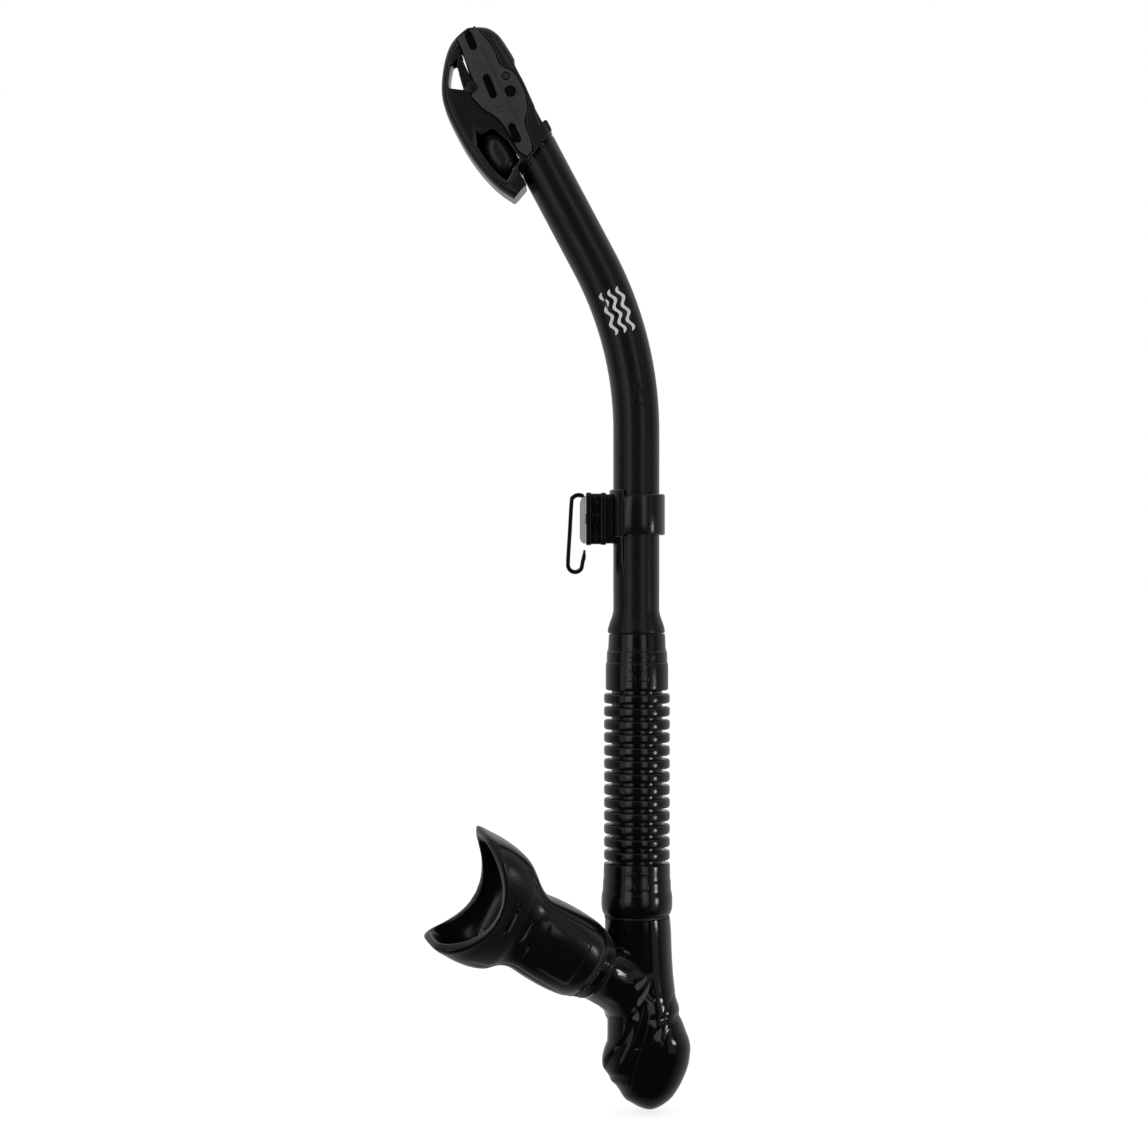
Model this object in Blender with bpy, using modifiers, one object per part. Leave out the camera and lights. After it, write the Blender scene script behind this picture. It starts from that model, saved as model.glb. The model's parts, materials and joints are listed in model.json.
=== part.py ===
"""A dry snorkel for diving masks: float-valve head, curved barrel, strap keeper, corrugated hose,
purge chamber and swivelling mouthpiece.

World frame: metres, +Z up along the hose. The origin is the middle of the strap hook's bearing face,
where the mask's strap lies. The head and the mouthpiece lie towards -X.
Lengths below are in millimetres and become metres where a mesh is made. They are measured from the
centre of the round joint between the hose's lower cuff and the purge chamber.
"""

import math

import bmesh
import bpy
from mathutils import Matrix, Vector

MM = 0.001
GAP = 0.3  # clearance between neighbouring pieces

# Barrel: an oval tube, straight below, then an arc towards -X, then straight up to the head
BARREL_X = -0.3
BARREL_FOOT_Z = 121.7
BARREL_STRAIGHT = 86.4
BARREL_BEND_RADIUS = 155.0
HEAD_TILT = math.radians(28.0)
BARREL_UPPER = 53.6
BARREL_HALF_WIDTH = 9.9
BARREL_HALF_DEPTH = 11.8
BARREL_WALL = 1.5
BARREL_FLARE = 10.3
BARREL_FLARE_RADIUS = 12.3
BARREL_SPIGOT_RADIUS = 10.4
BARREL_SPIGOT_LENGTH = 16.0
OVAL_POWER = 2.3
SEAM_SLOPE = math.tan(math.radians(25.4))  # slant of the joint between barrel and head
SEAM_HEIGHT = -1.9  # where that joint crosses the barrel's centreline

# Hose: two cuffs and a row of rings, each groove between them a bending point
HOSE_TOP = 97.2
HOSE_BOTTOM = 22.8
RING_COUNT = 13
RING_HEIGHT = 4.1
RING_RADIUS = 14.2
HOSE_BORE = 9.1
GROOVE_COUNT = RING_COUNT + 1
GROOVE = (HOSE_TOP - HOSE_BOTTOM - RING_COUNT * RING_HEIGHT) / GROOVE_COUNT

# Keeper: a clip on the barrel with a swivelling open hook for the mask strap
KEEPER_Z = 170.7
KEEPER_HEIGHT = 20.0
KEEPER_WALL = 2.1
BLOCK_OUTER_X = -21.4
BLOCK_HEIGHT = 24.0
BLOCK_DEPTH = 14.0
HOOK_WIDTH = 16.0
HOOK_PLATE = 2.4
HOOK_STRIP = 2.0
HOOK_PLATE_X = -23.4
BEARING_Z = 163.5
ORIGIN = Vector((HOOK_PLATE_X - HOOK_PLATE / 2, 0, BEARING_Z))  # from the hose joint's centre
RIVET_RADIUS = 2.2
RIVET_HEAD_RADIUS = 3.8

# Head: sizes across the pieces, in the head's own frame
HEAD_HALF = 12.6
CAVITY_HALF = 10.2
CORE_HALF = 10.4
PLATE_INNER = 10.7
PLATE_OUTER = 13.0
FLOAT_PIVOT = (-11.4, 35.1)
FLAP_PIVOT = (3.3, 32.6)
PLATE_PIN = (1.9, 26.1)
FLAP_OPEN = math.radians(14.4)

# Lower unit
CHAMBER_RADIUS = 14.0
CHAMBER_WALL = 1.9
SPIGOT_RADIUS = 10.4
SPIGOT_LENGTH = 12.0
SPLIT_Z = -46.0  # where the chamber ends and the purge cover starts, on the hose axis
SPLIT_SLOPE = -0.2
VALVE_SEAT_TOP = -38.6
VALVE_SEAT_THICKNESS = 2.0

# Branch to the mouthpiece: its axis leaves the hose axis here, up and towards -X and -Y
PORT_Z = -32.0
PORT_RISE = math.radians(32.0)
PORT_YAW = math.radians(24.0)
BRANCH_RADIUS = 13.4
BRANCH_LIP_RADIUS = 15.0
BRANCH_END = 25.1
NOZZLE_RADIUS = 11.6
NOZZLE_END = 34.8
SEAL_GROOVE = (30.2, 31.8)
PORT_BORE = 9.6
SWIVEL_RADIUS = 15.2
SWIVEL_END = 43.8
SWIVEL_SPIGOT_RADIUS = 13.2
MOUTHPIECE_START = 30.4
FLANGE_SHIFT = 1.5  # the lip flange lies this far above the neck's axis
FLANGE_SKEW = 0.12  # and its upper end reaches further along it
LIP_POWER = 3.2  # squareness of the lip outline


def clear_scene():
    for item in list(bpy.data.objects):
        bpy.data.objects.remove(item, do_unlink=True)


def new_collection(name):
    made = bpy.data.collections.new(name)
    bpy.context.scene.collection.children.link(made)
    return made


clear_scene()
PARTS = new_collection("dry_snorkel")
CUTTERS = new_collection("cutters")


def make_material(name, colour, roughness, metallic=0.0):
    made = bpy.data.materials.new(name)
    made.use_nodes = True
    shader = made.node_tree.nodes["Principled BSDF"]
    shader.inputs["Base Color"].default_value = (*colour, 1.0)
    shader.inputs["Roughness"].default_value = roughness
    shader.inputs["Metallic"].default_value = metallic
    return made


GLOSS_BLACK = make_material("gloss_black_plastic", (0.012, 0.012, 0.013), 0.18)
SATIN_BLACK = make_material("satin_black_plastic", (0.02, 0.02, 0.022), 0.35)
MATTE_GREY = make_material("matte_charcoal_plastic", (0.045, 0.045, 0.048), 0.6)
BLACK_SILICONE = make_material("black_silicone", (0.01, 0.01, 0.011), 0.3)
GREY_PLASTIC = make_material("grey_plastic", (0.35, 0.35, 0.36), 0.4)
STEEL = make_material("stainless_steel", (0.55, 0.55, 0.56), 0.25, 1.0)


def empty(name, location, rotation_matrix):
    """A frame that pieces are parented to; it makes no solid itself."""
    made = bpy.data.objects.new(name, None)
    made.matrix_world = Matrix.Translation((Vector(location) - ORIGIN) * MM) @ rotation_matrix.to_4x4()
    PARTS.objects.link(made)
    return made


def add_piece(name, mesh, material, location=(0, 0, 0), rotation=(0, 0, 0), parent=None):
    made = bpy.data.objects.new(name, mesh)
    made.location = (Vector(location) - (ORIGIN if parent is None else Vector())) * MM
    made.rotation_euler = rotation
    made.parent = parent
    if material is None:
        CUTTERS.objects.link(made)
        made.hide_render = True
        made.display_type = "WIRE"
    else:
        PARTS.objects.link(made)
        made.data.materials.clear()
        made.data.materials.append(material)
    return made


def mesh_from(name, bm, smooth=True):
    """The bmesh as a mesh in metres, closed and facing out."""
    bmesh.ops.scale(bm, vec=(MM, MM, MM), verts=bm.verts)
    bmesh.ops.recalc_face_normals(bm, faces=bm.faces)
    if bm.calc_volume(signed=True) < 0:
        bmesh.ops.reverse_faces(bm, faces=bm.faces)
    mesh = bpy.data.meshes.new(name)
    bm.to_mesh(mesh)
    bm.free()
    if smooth:
        mesh.shade_smooth()
        mesh.set_sharp_from_angle(angle=math.radians(35))
    return mesh


def boolean(target, tool, operation="DIFFERENCE"):
    modifier = target.modifiers.new(operation.lower() + "_" + tool.name, "BOOLEAN")
    modifier.operation = operation
    modifier.solver = "EXACT"
    modifier.object = tool


def box(name, size, location, material=None, rotation=(0, 0, 0), parent=None):
    bm = bmesh.new()
    bmesh.ops.create_cube(bm, size=1.0)
    bmesh.ops.scale(bm, vec=size, verts=bm.verts)
    return add_piece(name, mesh_from(name, bm, smooth=False), material, location, rotation, parent)


def cylinder(name, radius, low, high, material=None, segments=24, rotation=(0, 0, 0),
             location=(0, 0, 0), parent=None):
    """A solid cylinder along its own Z from low to high."""
    bm = bmesh.new()
    bmesh.ops.create_cone(bm, cap_ends=True, segments=segments, radius1=radius,
                          radius2=radius, depth=high - low,
                          matrix=Matrix.Translation((0, 0, (low + high) / 2)))
    return add_piece(name, mesh_from(name, bm), material, location, rotation, parent)


def turned_mesh(name, profile, closed=True):
    """The profile of a turned piece: (radius, z) pairs, down the outer side first."""
    mesh = bpy.data.meshes.new(name)
    points = [(radius * MM, 0.0, z * MM) for radius, z in profile]
    edges = [(i, i + 1) for i in range(len(points) - 1)]
    if closed:
        edges.append((len(points) - 1, 0))
    mesh.from_pydata(points, edges, [])
    return mesh


def turn(piece, segments):
    screw = piece.modifiers.new("turn", "SCREW")
    screw.axis = "Z"
    screw.angle = 2 * math.pi
    screw.steps = segments
    screw.render_steps = segments
    screw.use_merge_vertices = True
    screw.merge_threshold = 0.00001
    screw.use_smooth_shade = True


def turned(name, profile, material, segments=32, closed=True, location=(0, 0, 0),
           rotation=(0, 0, 0), parent=None):
    piece = add_piece(name, turned_mesh(name, profile, closed), material, location, rotation, parent)
    turn(piece, segments)
    return piece


def plate(name, outline, low, high, material=None, parent=None, steps=1):
    """A flat outline in its frame's XY plane, from low to high along Z.

    A third value on a point rounds the outline there; the others are corners.
    """
    curve = bpy.data.curves.new(name, "CURVE")
    curve.dimensions = "2D"
    curve.fill_mode = "BOTH"
    curve.extrude = (high - low) / 2 * MM
    curve.resolution_u = steps
    spline = curve.splines.new("BEZIER")
    spline.bezier_points.add(len(outline) - 1)
    for point, place in zip(spline.bezier_points, outline):
        kind = "AUTO" if len(place) > 2 else "VECTOR"
        point.co = (place[0] * MM, place[1] * MM, 0.0)
        point.handle_left_type = kind
        point.handle_right_type = kind
    spline.use_cyclic_u = True
    holder = bpy.data.objects.new(name + "_curve", curve)
    bpy.context.scene.collection.objects.link(holder)
    mesh = bpy.data.meshes.new_from_object(holder.evaluated_get(bpy.context.evaluated_depsgraph_get()))
    bpy.data.objects.remove(holder)
    bm = bmesh.new()
    bm.from_mesh(mesh)
    bmesh.ops.remove_doubles(bm, verts=bm.verts, dist=0.00001)
    bmesh.ops.dissolve_limit(bm, angle_limit=0.001, verts=bm.verts, edges=bm.edges)
    bmesh.ops.scale(bm, vec=(1 / MM, 1 / MM, 1 / MM), verts=bm.verts)
    bmesh.ops.translate(bm, vec=(0, 0, (low + high) / 2), verts=bm.verts)
    return add_piece(name, mesh_from(name, bm), material, parent=parent)


def loft(name, rings, material=None, tube=False, parent=None):
    """A skin over rings of points; a tube's last ring joins its first, else both ends are capped."""
    bm = bmesh.new()
    loops = [[bm.verts.new(point) for point in ring] for ring in rings]
    count = len(loops[0])
    pairs = list(zip(loops, loops[1:]))
    if tube:
        pairs.append((loops[-1], loops[0]))
    else:
        bm.faces.new(loops[0])
        bm.faces.new(loops[-1])
    for lower, upper in pairs:
        for i in range(count):
            j = (i + 1) % count
            bm.faces.new((lower[i], lower[j], upper[j], upper[i]))
    return add_piece(name, mesh_from(name, bm), material, parent=parent)


def oval(half_x, half_y, count=32, power=2.0):
    """Points of a superellipse, the same angles for every size so that rings match up."""
    points = []
    for i in range(count):
        angle = 2 * math.pi * i / count
        c, s = math.cos(angle), math.sin(angle)
        x = math.copysign(abs(c) ** (2 / power), c) * half_x
        y = math.copysign(abs(s) ** (2 / power), s) * half_y
        points.append((x, y))
    return points


# ---------------------------------------------------------------- barrel

def barrel_frame(distance):
    """Centre and lean of the barrel's centreline at a distance from its foot."""
    arc = BARREL_BEND_RADIUS * HEAD_TILT
    lean = min(max(distance - BARREL_STRAIGHT, 0.0), arc) / BARREL_BEND_RADIUS
    beyond = max(distance - BARREL_STRAIGHT - arc, 0.0)
    x = BARREL_X - BARREL_BEND_RADIUS * (1 - math.cos(lean)) - beyond * math.sin(lean)
    z = BARREL_FOOT_Z + min(distance, BARREL_STRAIGHT)
    z += BARREL_BEND_RADIUS * math.sin(lean) + beyond * math.cos(lean)
    return Vector((x, 0, z)), lean


def barrel_ring(distance, half_width, half_depth, power=OVAL_POWER, slope=0.0):
    centre, lean = barrel_frame(distance)
    side = Vector((math.cos(lean), 0, math.sin(lean)))
    along = Vector((-math.sin(lean), 0, math.cos(lean)))
    ring = []
    for x, y in oval(half_width, half_depth, power=power):
        ring.append(centre + side * x + Vector((0, y, 0)) + along * slope * x)
    return ring


BARREL_LENGTH = BARREL_STRAIGHT + BARREL_BEND_RADIUS * HEAD_TILT + BARREL_UPPER
HEAD_ORIGIN, _ = barrel_frame(BARREL_LENGTH)


def barrel_sections(inset):
    """Rings from the slanted top down to the foot, each side moved in by inset."""
    half_width = BARREL_HALF_WIDTH - inset
    half_depth = BARREL_HALF_DEPTH - inset
    top = BARREL_LENGTH + SEAM_HEIGHT - 0.6
    arc_end = BARREL_LENGTH - BARREL_UPPER
    rings = [barrel_ring(top, half_width, half_depth, slope=SEAM_SLOPE)]
    for step in range(7):
        distance = arc_end + (BARREL_STRAIGHT - arc_end) * step / 6
        rings.append(barrel_ring(distance, half_width, half_depth))
    rings.append(barrel_ring(BARREL_FLARE, half_width, half_depth))
    rings.append(barrel_ring(BARREL_FLARE * 0.45, half_width + 1.7, half_depth + 0.2, power=2.1))
    foot = BARREL_FLARE_RADIUS - inset
    rings.append(barrel_ring(0, foot, foot, power=2.0))
    return rings


def make_barrel():
    outer = barrel_sections(0.0)
    bore = barrel_sections(BARREL_WALL)
    bore[-1] = barrel_ring(1.0, 9.6, 9.6, power=2.0)
    spigot_end = -BARREL_SPIGOT_LENGTH
    foot = [
        barrel_ring(0, BARREL_SPIGOT_RADIUS, BARREL_SPIGOT_RADIUS, power=2.0),
        barrel_ring(spigot_end, BARREL_SPIGOT_RADIUS, BARREL_SPIGOT_RADIUS, power=2.0),
        barrel_ring(spigot_end, HOSE_BORE, HOSE_BORE, power=2.0),
    ]
    loft("barrel_tube", outer + foot + bore[::-1], SATIN_BLACK, tube=True)


# ---------------------------------------------------------------- dry-top head

# The head's frame has X across the head, Y up along the barrel's upper end and Z towards -Y world.
HEAD = empty("head_frame", HEAD_ORIGIN, Matrix.Rotation(-HEAD_TILT, 3, "Y")
             @ Matrix.Rotation(math.pi / 2, 3, "X"))

# Right side of the whole head, from the seam with the barrel up to the crown
HEAD_BACK = [(10.0, 3.6), (10.1, 8.2), (9.0, 8.7), (6.6, 7.4), (6.2, 8.6), (8.1, 15.6), (8.9, 26.7),
             (8.9, 36.3), (10.0, 37.3), (9.9, 44.0, 1), (6.9, 53.8, 1), (1.9, 57.8)]
# Wavy joint between the side plates and the shell behind them, from the crown down
PLATE_BACK = [(1.7, 57.6), (4.0, 45.8, 1), (3.7, 37.4, 1), (6.4, 33.6, 1), (7.4, 26.5, 1),
              (5.4, 17.0, 1), (1.3, 11.7, 1), (-0.3, 2.9, 1), (-1.5, -0.5)]
# Front edge of the side plates, from the base up to the crown
PLATE_FRONT = [(-4.7, -1.5), (-6.8, 2.3), (-7.0, 9.9, 1), (-7.8, 17.4, 1), (-11.8, 25.1),
               (-13.6, 31.9), (-9.8, 35.3), (-8.7, 46.3), (-7.7, 52.0), (-7.7, 56.4)]
GUARD_FRONT = [(1.4, 57.7), (-2.0, 58.9, 1), (-11.1, 55.9, 1), (-19.4, 47.3, 1), (-25.1, 36.6, 1),
               (-26.5, 23.0, 1), (-25.6, 6.8, 1), (-21.8, -7.8, 1), (-18.1, -14.8)]
WINDOW_UPPER = [(-7.0, 54.6), (-10.3, 53.6, 1), (-15.3, 48.9, 1), (-20.1, 41.5), (-14.3, 37.4),
                (-8.7, 39.4), (-7.9, 46.0)]
WINDOW_LOWER = [(-18.6, 20.5), (-17.1, 16.3), (-11.9, 15.9), (-8.8, 8.8), (-7.7, -0.6),
                (-9.6, -3.0), (-17.6, -7.7), (-20.8, -0.6, 1), (-22.8, 12.0)]


def shifted(outline, across, up=0.0):
    return [(point[0] + across, point[1] + up, *point[2:]) for point in outline]


def seam_ring(height, half_width, half_depth, slope=SEAM_SLOPE):
    """A ring of the barrel's oval in the head's frame, slanted like the seam."""
    return [Vector((x, height + slope * x, y))
            for x, y in oval(half_width, half_depth, power=OVAL_POWER)]


def make_head_shell():
    """Rear casing with the air duct: joins the barrel below, opens at the valve seat."""
    back = HEAD_BACK + shifted(PLATE_BACK, GAP)[:-1] + [(-1.2, SEAM_HEIGHT - 0.57 + 0.9)]
    shell = plate("head_shell", back, -HEAD_HALF, HEAD_HALF, SATIN_BLACK, HEAD, steps=3)
    duct = [(-3.0, SEAM_HEIGHT + 0.9 - 3.0 * SEAM_SLOPE), (8.0, SEAM_HEIGHT + 0.9 + 8.0 * SEAM_SLOPE),
            (8.0, 15.8), (8.4, 30.7), (-3.0, 30.7)]
    boolean(shell, plate("duct_walls", duct, -CORE_HALF, CORE_HALF, parent=HEAD), "UNION")
    collar = [seam_ring(SEAM_HEIGHT + 0.6, BARREL_HALF_WIDTH, BARREL_HALF_DEPTH),
              seam_ring(SEAM_HEIGHT + 2.1, BARREL_HALF_WIDTH, BARREL_HALF_DEPTH)]
    boolean(shell, loft("collar", collar, parent=HEAD), "UNION")
    plug_side = BARREL_HALF_WIDTH - BARREL_WALL - GAP
    plug_depth = BARREL_HALF_DEPTH - BARREL_WALL - GAP
    plug = [seam_ring(-14.0, plug_side, plug_depth, 0.0), seam_ring(0.0, plug_side, plug_depth)]
    boolean(shell, loft("plug", plug, parent=HEAD), "UNION")
    plug_bore = [seam_ring(-15.0, plug_side - 1.4, plug_depth - 1.4, 0.0),
                 seam_ring(-0.8, plug_side - 1.4, plug_depth - 1.4)]
    boolean(shell, loft("plug_bore", plug_bore, parent=HEAD))
    bore = [(-1.5, -4.0), (5.0, -4.0), (5.0, 9.0), (6.6, 15.8), (6.9, 29.2), (-1.5, 29.2)]
    boolean(shell, plate("duct_bore", bore, -8.9, 8.9, parent=HEAD))
    mouth = [(-4.0, 16.5), (0.0, 16.5), (0.0, 28.4), (-4.0, 28.4)]
    boolean(shell, plate("duct_mouth", mouth, -7.2, 7.2, parent=HEAD))
    roof = [(2.0, 54.5), (7.3, 48.0), (8.0, 39.0), (6.6, 36.2), (3.0, 38.0)]
    boolean(shell, plate("shell_hollow", roof, -CAVITY_HALF, CAVITY_HALF, parent=HEAD))


def make_head_gasket():
    side = BARREL_HALF_WIDTH - 0.1
    depth = BARREL_HALF_DEPTH - 0.1
    rings = [seam_ring(SEAM_HEIGHT + 0.3, side, depth), seam_ring(SEAM_HEIGHT - 0.3, side, depth),
             seam_ring(SEAM_HEIGHT - 0.3, side - 1.0, depth - 1.0),
             seam_ring(SEAM_HEIGHT + 0.3, side - 1.0, depth - 1.0)]
    loft("head_gasket", rings, BLACK_SILICONE, tube=True, parent=HEAD)


def make_side_plates():
    outline = PLATE_BACK + PLATE_FRONT
    slots = {"top": ((-2.5, 55.0), (-3.0, 50.4)), "middle": ((-4.3, 35.6), (-5.1, 28.4)),
             "low": ((-4.6, 12.2), (-4.9, 7.0))}
    for side, low, high in (("near", PLATE_INNER, PLATE_OUTER), ("far", -PLATE_OUTER, -PLATE_INNER)):
        name = "side_plate_" + side
        piece = plate(name, outline, low, high, MATTE_GREY, HEAD, steps=3)
        for slot, (upper, lower) in slots.items():
            radius = 1.6
            shape = [(upper[0] + radius, upper[1], 1), (upper[0], upper[1] + radius, 1),
                     (upper[0] - radius, upper[1], 1), (lower[0] - radius, lower[1], 1),
                     (lower[0], lower[1] - radius, 1), (lower[0] + radius, lower[1], 1)]
            cutter = plate("slot_" + slot + "_" + side, shape, low - 1, high + 1, parent=HEAD, steps=3)
            boolean(piece, cutter)
        for pin, radius, (x, y) in (("flap", 1.4, FLAP_PIVOT), ("fixing", 2.0, PLATE_PIN),
                                    ("float", 1.5, FLOAT_PIVOT)):
            hole = cylinder("hole_" + pin + "_" + side, radius + GAP, low - 1, high + 1,
                            segments=16, location=(x, y, 0), parent=HEAD)
            boolean(piece, hole)
        sign = 1 if side == "near" else -1
        ends = sorted((sign * (PLATE_INNER + 0.1), sign * (PLATE_OUTER + 0.2)))
        cylinder("plate_pin_" + side, 2.0, *ends, material=GLOSS_BLACK, segments=16,
                 location=(*PLATE_PIN, 0), parent=HEAD)


def make_float_guard():
    """Curved spine and side walls in front of the float, open towards the duct."""
    under = [(-10.5, -11.8), (-10.5, -3.5), (-5.2, -2.4), (-5.2, -1.0)]
    behind = shifted(PLATE_FRONT[1:], -GAP)
    bridge = [(-7.0, 56.0), (1.4, 54.6)]
    guard = plate("float_guard", GUARD_FRONT + under + behind[:-1] + bridge, -HEAD_HALF, HEAD_HALF,
                  GLOSS_BLACK, HEAD, steps=3)
    cavity = [(3.0, 54.6), (-3.0, 55.4, 1), (-10.0, 52.8, 1), (-17.4, 44.6, 1), (-21.9, 35.6, 1),
              (-23.2, 23.0, 1), (-22.4, 7.5, 1), (-20.6, -0.6, 1), (-18.6, -8.8), (-9.8, -5.0), (3.0, 1.0)]
    boolean(guard, plate("guard_cavity", cavity, -CAVITY_HALF, CAVITY_HALF, parent=HEAD, steps=3))
    boolean(guard, plate("guard_window_upper", WINDOW_UPPER, -20, 20, parent=HEAD, steps=3))
    boolean(guard, plate("guard_window_lower", WINDOW_LOWER, -20, 20, parent=HEAD, steps=3))
    clear = [seam_ring(-30.0, 10.2, 12.1, 0.0), seam_ring(SEAM_HEIGHT + 2.4, 10.2, 12.1)]
    boolean(guard, loft("guard_barrel_clearance", clear, parent=HEAD))
    margin = [(-8.0, 60.0), (4.0, 60.0), (4.0, 50.0), (-8.0, 50.0)]
    for side, low, high in (("near", CORE_HALF, 20.0), ("far", -20.0, -CORE_HALF)):
        boolean(guard, plate("guard_plate_clearance_" + side, margin, low, high, parent=HEAD))
    hole = cylinder("guard_pivot_hole", 1.5 + GAP, -20, 20, segments=16,
                    location=(*FLOAT_PIVOT, 0), parent=HEAD)
    boolean(guard, hole)


def make_pins():
    cylinder("float_pivot_pin", 1.5, -HEAD_HALF, HEAD_HALF, STEEL, segments=16,
             location=(*FLOAT_PIVOT, 0), parent=HEAD)
    cylinder("flap_hinge_pin", 1.4, -PLATE_OUTER - 0.1, PLATE_OUTER + 0.1, STEEL, segments=16,
             location=(*FLAP_PIVOT, 0), parent=HEAD)


def about(pivot, outline):
    """The outline moved so that the pivot is at the piece's own origin."""
    return shifted(outline, -pivot[0], -pivot[1])


def make_float():
    """Hollow-looking block of foam and the lever that hangs it from its pivot."""
    block = [(-17.0, 13.6, 1), (-13.5, 14.6, 1), (-10.4, 12.6, 1), (-8.9, 8.0, 1), (-8.5, 0.4, 1),
             (-10.4, -1.4, 1), (-15.2, -3.4, 1), (-17.4, -2.2, 1), (-19.4, 0.6, 1), (-21.0, 9.0, 1)]
    body = plate("float", about(FLOAT_PIVOT, block), -9.4, 9.4, SATIN_BLACK, HEAD, steps=2)
    body.location = Vector((*FLOAT_PIVOT, 0)) * MM
    slot = plate("float_slot", about(FLOAT_PIVOT, [(-14.8, 16.0), (-12.0, 16.0), (-12.0, 8.0), (-14.8, 8.0)]),
                 -3.0, 3.0, parent=HEAD)
    slot.location = body.location
    boolean(body, slot)
    arm = [(-8.6, 34.4, 1), (-9.2, 37.2, 1), (-11.8, 38.2, 1), (-14.2, 36.4, 1), (-14.6, 33.4, 1),
           (-14.5, 15.0), (-14.5, 8.3), (-12.3, 8.3), (-12.3, 15.0), (-12.2, 29.0)]
    lever = plate("float_lever", about(FLOAT_PIVOT, arm), -2.7, 2.7, GLOSS_BLACK, HEAD, steps=3)
    lever.location = body.location
    hole = cylinder("lever_hole", 1.5 + GAP, -5, 5, segments=16, location=(*FLOAT_PIVOT, 0), parent=HEAD)
    boolean(lever, hole)


def make_flap():
    """Silicone flap on its carrier, swung open by FLAP_OPEN from the duct's mouth."""
    swing = (0, 0, -FLAP_OPEN)
    carrier = [(5.4, 32.6, 1), (3.3, 34.9, 1), (0.6, 33.4), (-5.4, 31.6), (-5.8, 15.6), (-4.6, 15.6),
               (-4.6, 30.4), (-3.4, 31.2), (1.4, 31.4)]
    arm = plate("flap_carrier", about(FLAP_PIVOT, carrier), -7.4, 7.4, GLOSS_BLACK, HEAD, steps=2)
    arm.location = Vector((*FLAP_PIVOT, 0)) * MM
    arm.rotation_euler = swing
    hole = cylinder("carrier_hole", 1.4 + GAP, -9, 9, segments=16, location=(*FLAP_PIVOT, 0), parent=HEAD)
    boolean(arm, hole)
    pad = [(-4.3, 15.4), (-3.4, 15.4), (-3.4, 29.6), (-4.3, 29.6)]
    flap = plate("seal_flap", about(FLAP_PIVOT, pad), -8.2, 8.2, BLACK_SILICONE, HEAD)
    flap.location = arm.location
    flap.rotation_euler = swing


# ---------------------------------------------------------------- strap keeper

def make_keeper_band():
    inner_side = BARREL_HALF_WIDTH + GAP
    inner_depth = BARREL_HALF_DEPTH + GAP
    low, high = KEEPER_Z - KEEPER_HEIGHT / 2, KEEPER_Z + KEEPER_HEIGHT / 2

    def ring(z, grow):
        return [Vector((BARREL_X + x, y, z))
                for x, y in oval(inner_side + grow, inner_depth + grow, power=OVAL_POWER)]

    band = loft("keeper_band", [ring(high, KEEPER_WALL), ring(low, KEEPER_WALL), ring(low, 0), ring(high, 0)],
                GLOSS_BLACK, tube=True)
    boolean(band, box("band_split", (8, 9, 30), (9.0, 10.5, KEEPER_Z)))
    foot = BARREL_X - inner_side - KEEPER_WALL + 0.6
    block = box("keeper_boss", (foot - BLOCK_OUTER_X, BLOCK_DEPTH, BLOCK_HEIGHT),
                ((foot + BLOCK_OUTER_X) / 2, 0, KEEPER_Z))
    boolean(band, block, "UNION")
    for i in range(5):
        x = BLOCK_OUTER_X + 1.6 + i * 1.7
        for side in (-1, 1):
            groove = box(f"boss_groove_{i}_{'near' if side < 0 else 'far'}", (0.8, 1.6, 30),
                         (x, side * BLOCK_DEPTH / 2, KEEPER_Z))
            boolean(band, groove)
    socket = cylinder("rivet_socket", RIVET_RADIUS + GAP, -8, 0.1, segments=16,
                      rotation=(0, -math.pi / 2, 0), location=(BLOCK_OUTER_X, 0, KEEPER_Z))
    boolean(band, socket)


def make_keeper_swivel():
    """Rivet and washer that carry the hook; both lie on the swivel axis along X."""
    turn_to_x = (0, -math.pi / 2, 0)
    place = (BLOCK_OUTER_X, 0, KEEPER_Z)
    head = HOOK_PLATE_X - BLOCK_OUTER_X
    outer = -head + HOOK_PLATE / 2 - 0.2
    profile = [(0, outer), (RIVET_HEAD_RADIUS, outer), (RIVET_HEAD_RADIUS, outer - 0.9),
               (RIVET_RADIUS, outer - 0.9), (RIVET_RADIUS, -7.4), (0, -7.4)]
    turned("keeper_rivet", profile, STEEL, 16, closed=False, location=place, rotation=turn_to_x)
    washer = [(5.4, 0.5), (5.4, 0.2), (RIVET_RADIUS + GAP, 0.2), (RIVET_RADIUS + GAP, 0.5)]
    turned("keeper_washer", washer, STEEL, 20, location=place, rotation=turn_to_x)


def strip_outline(path, thickness):
    """The outline of a bent strip: the path moved half the thickness to each side."""
    left, right = [], []
    for i, point in enumerate(path):
        before = Vector(path[max(i - 1, 0)])
        after = Vector(path[min(i + 1, len(path) - 1)])
        along = (after - before).normalized()
        across = Vector((-along.y, along.x)) * thickness / 2
        left.append(tuple(Vector(point) + across))
        right.append(tuple(Vector(point) - across))
    return left + right[::-1]


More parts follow.
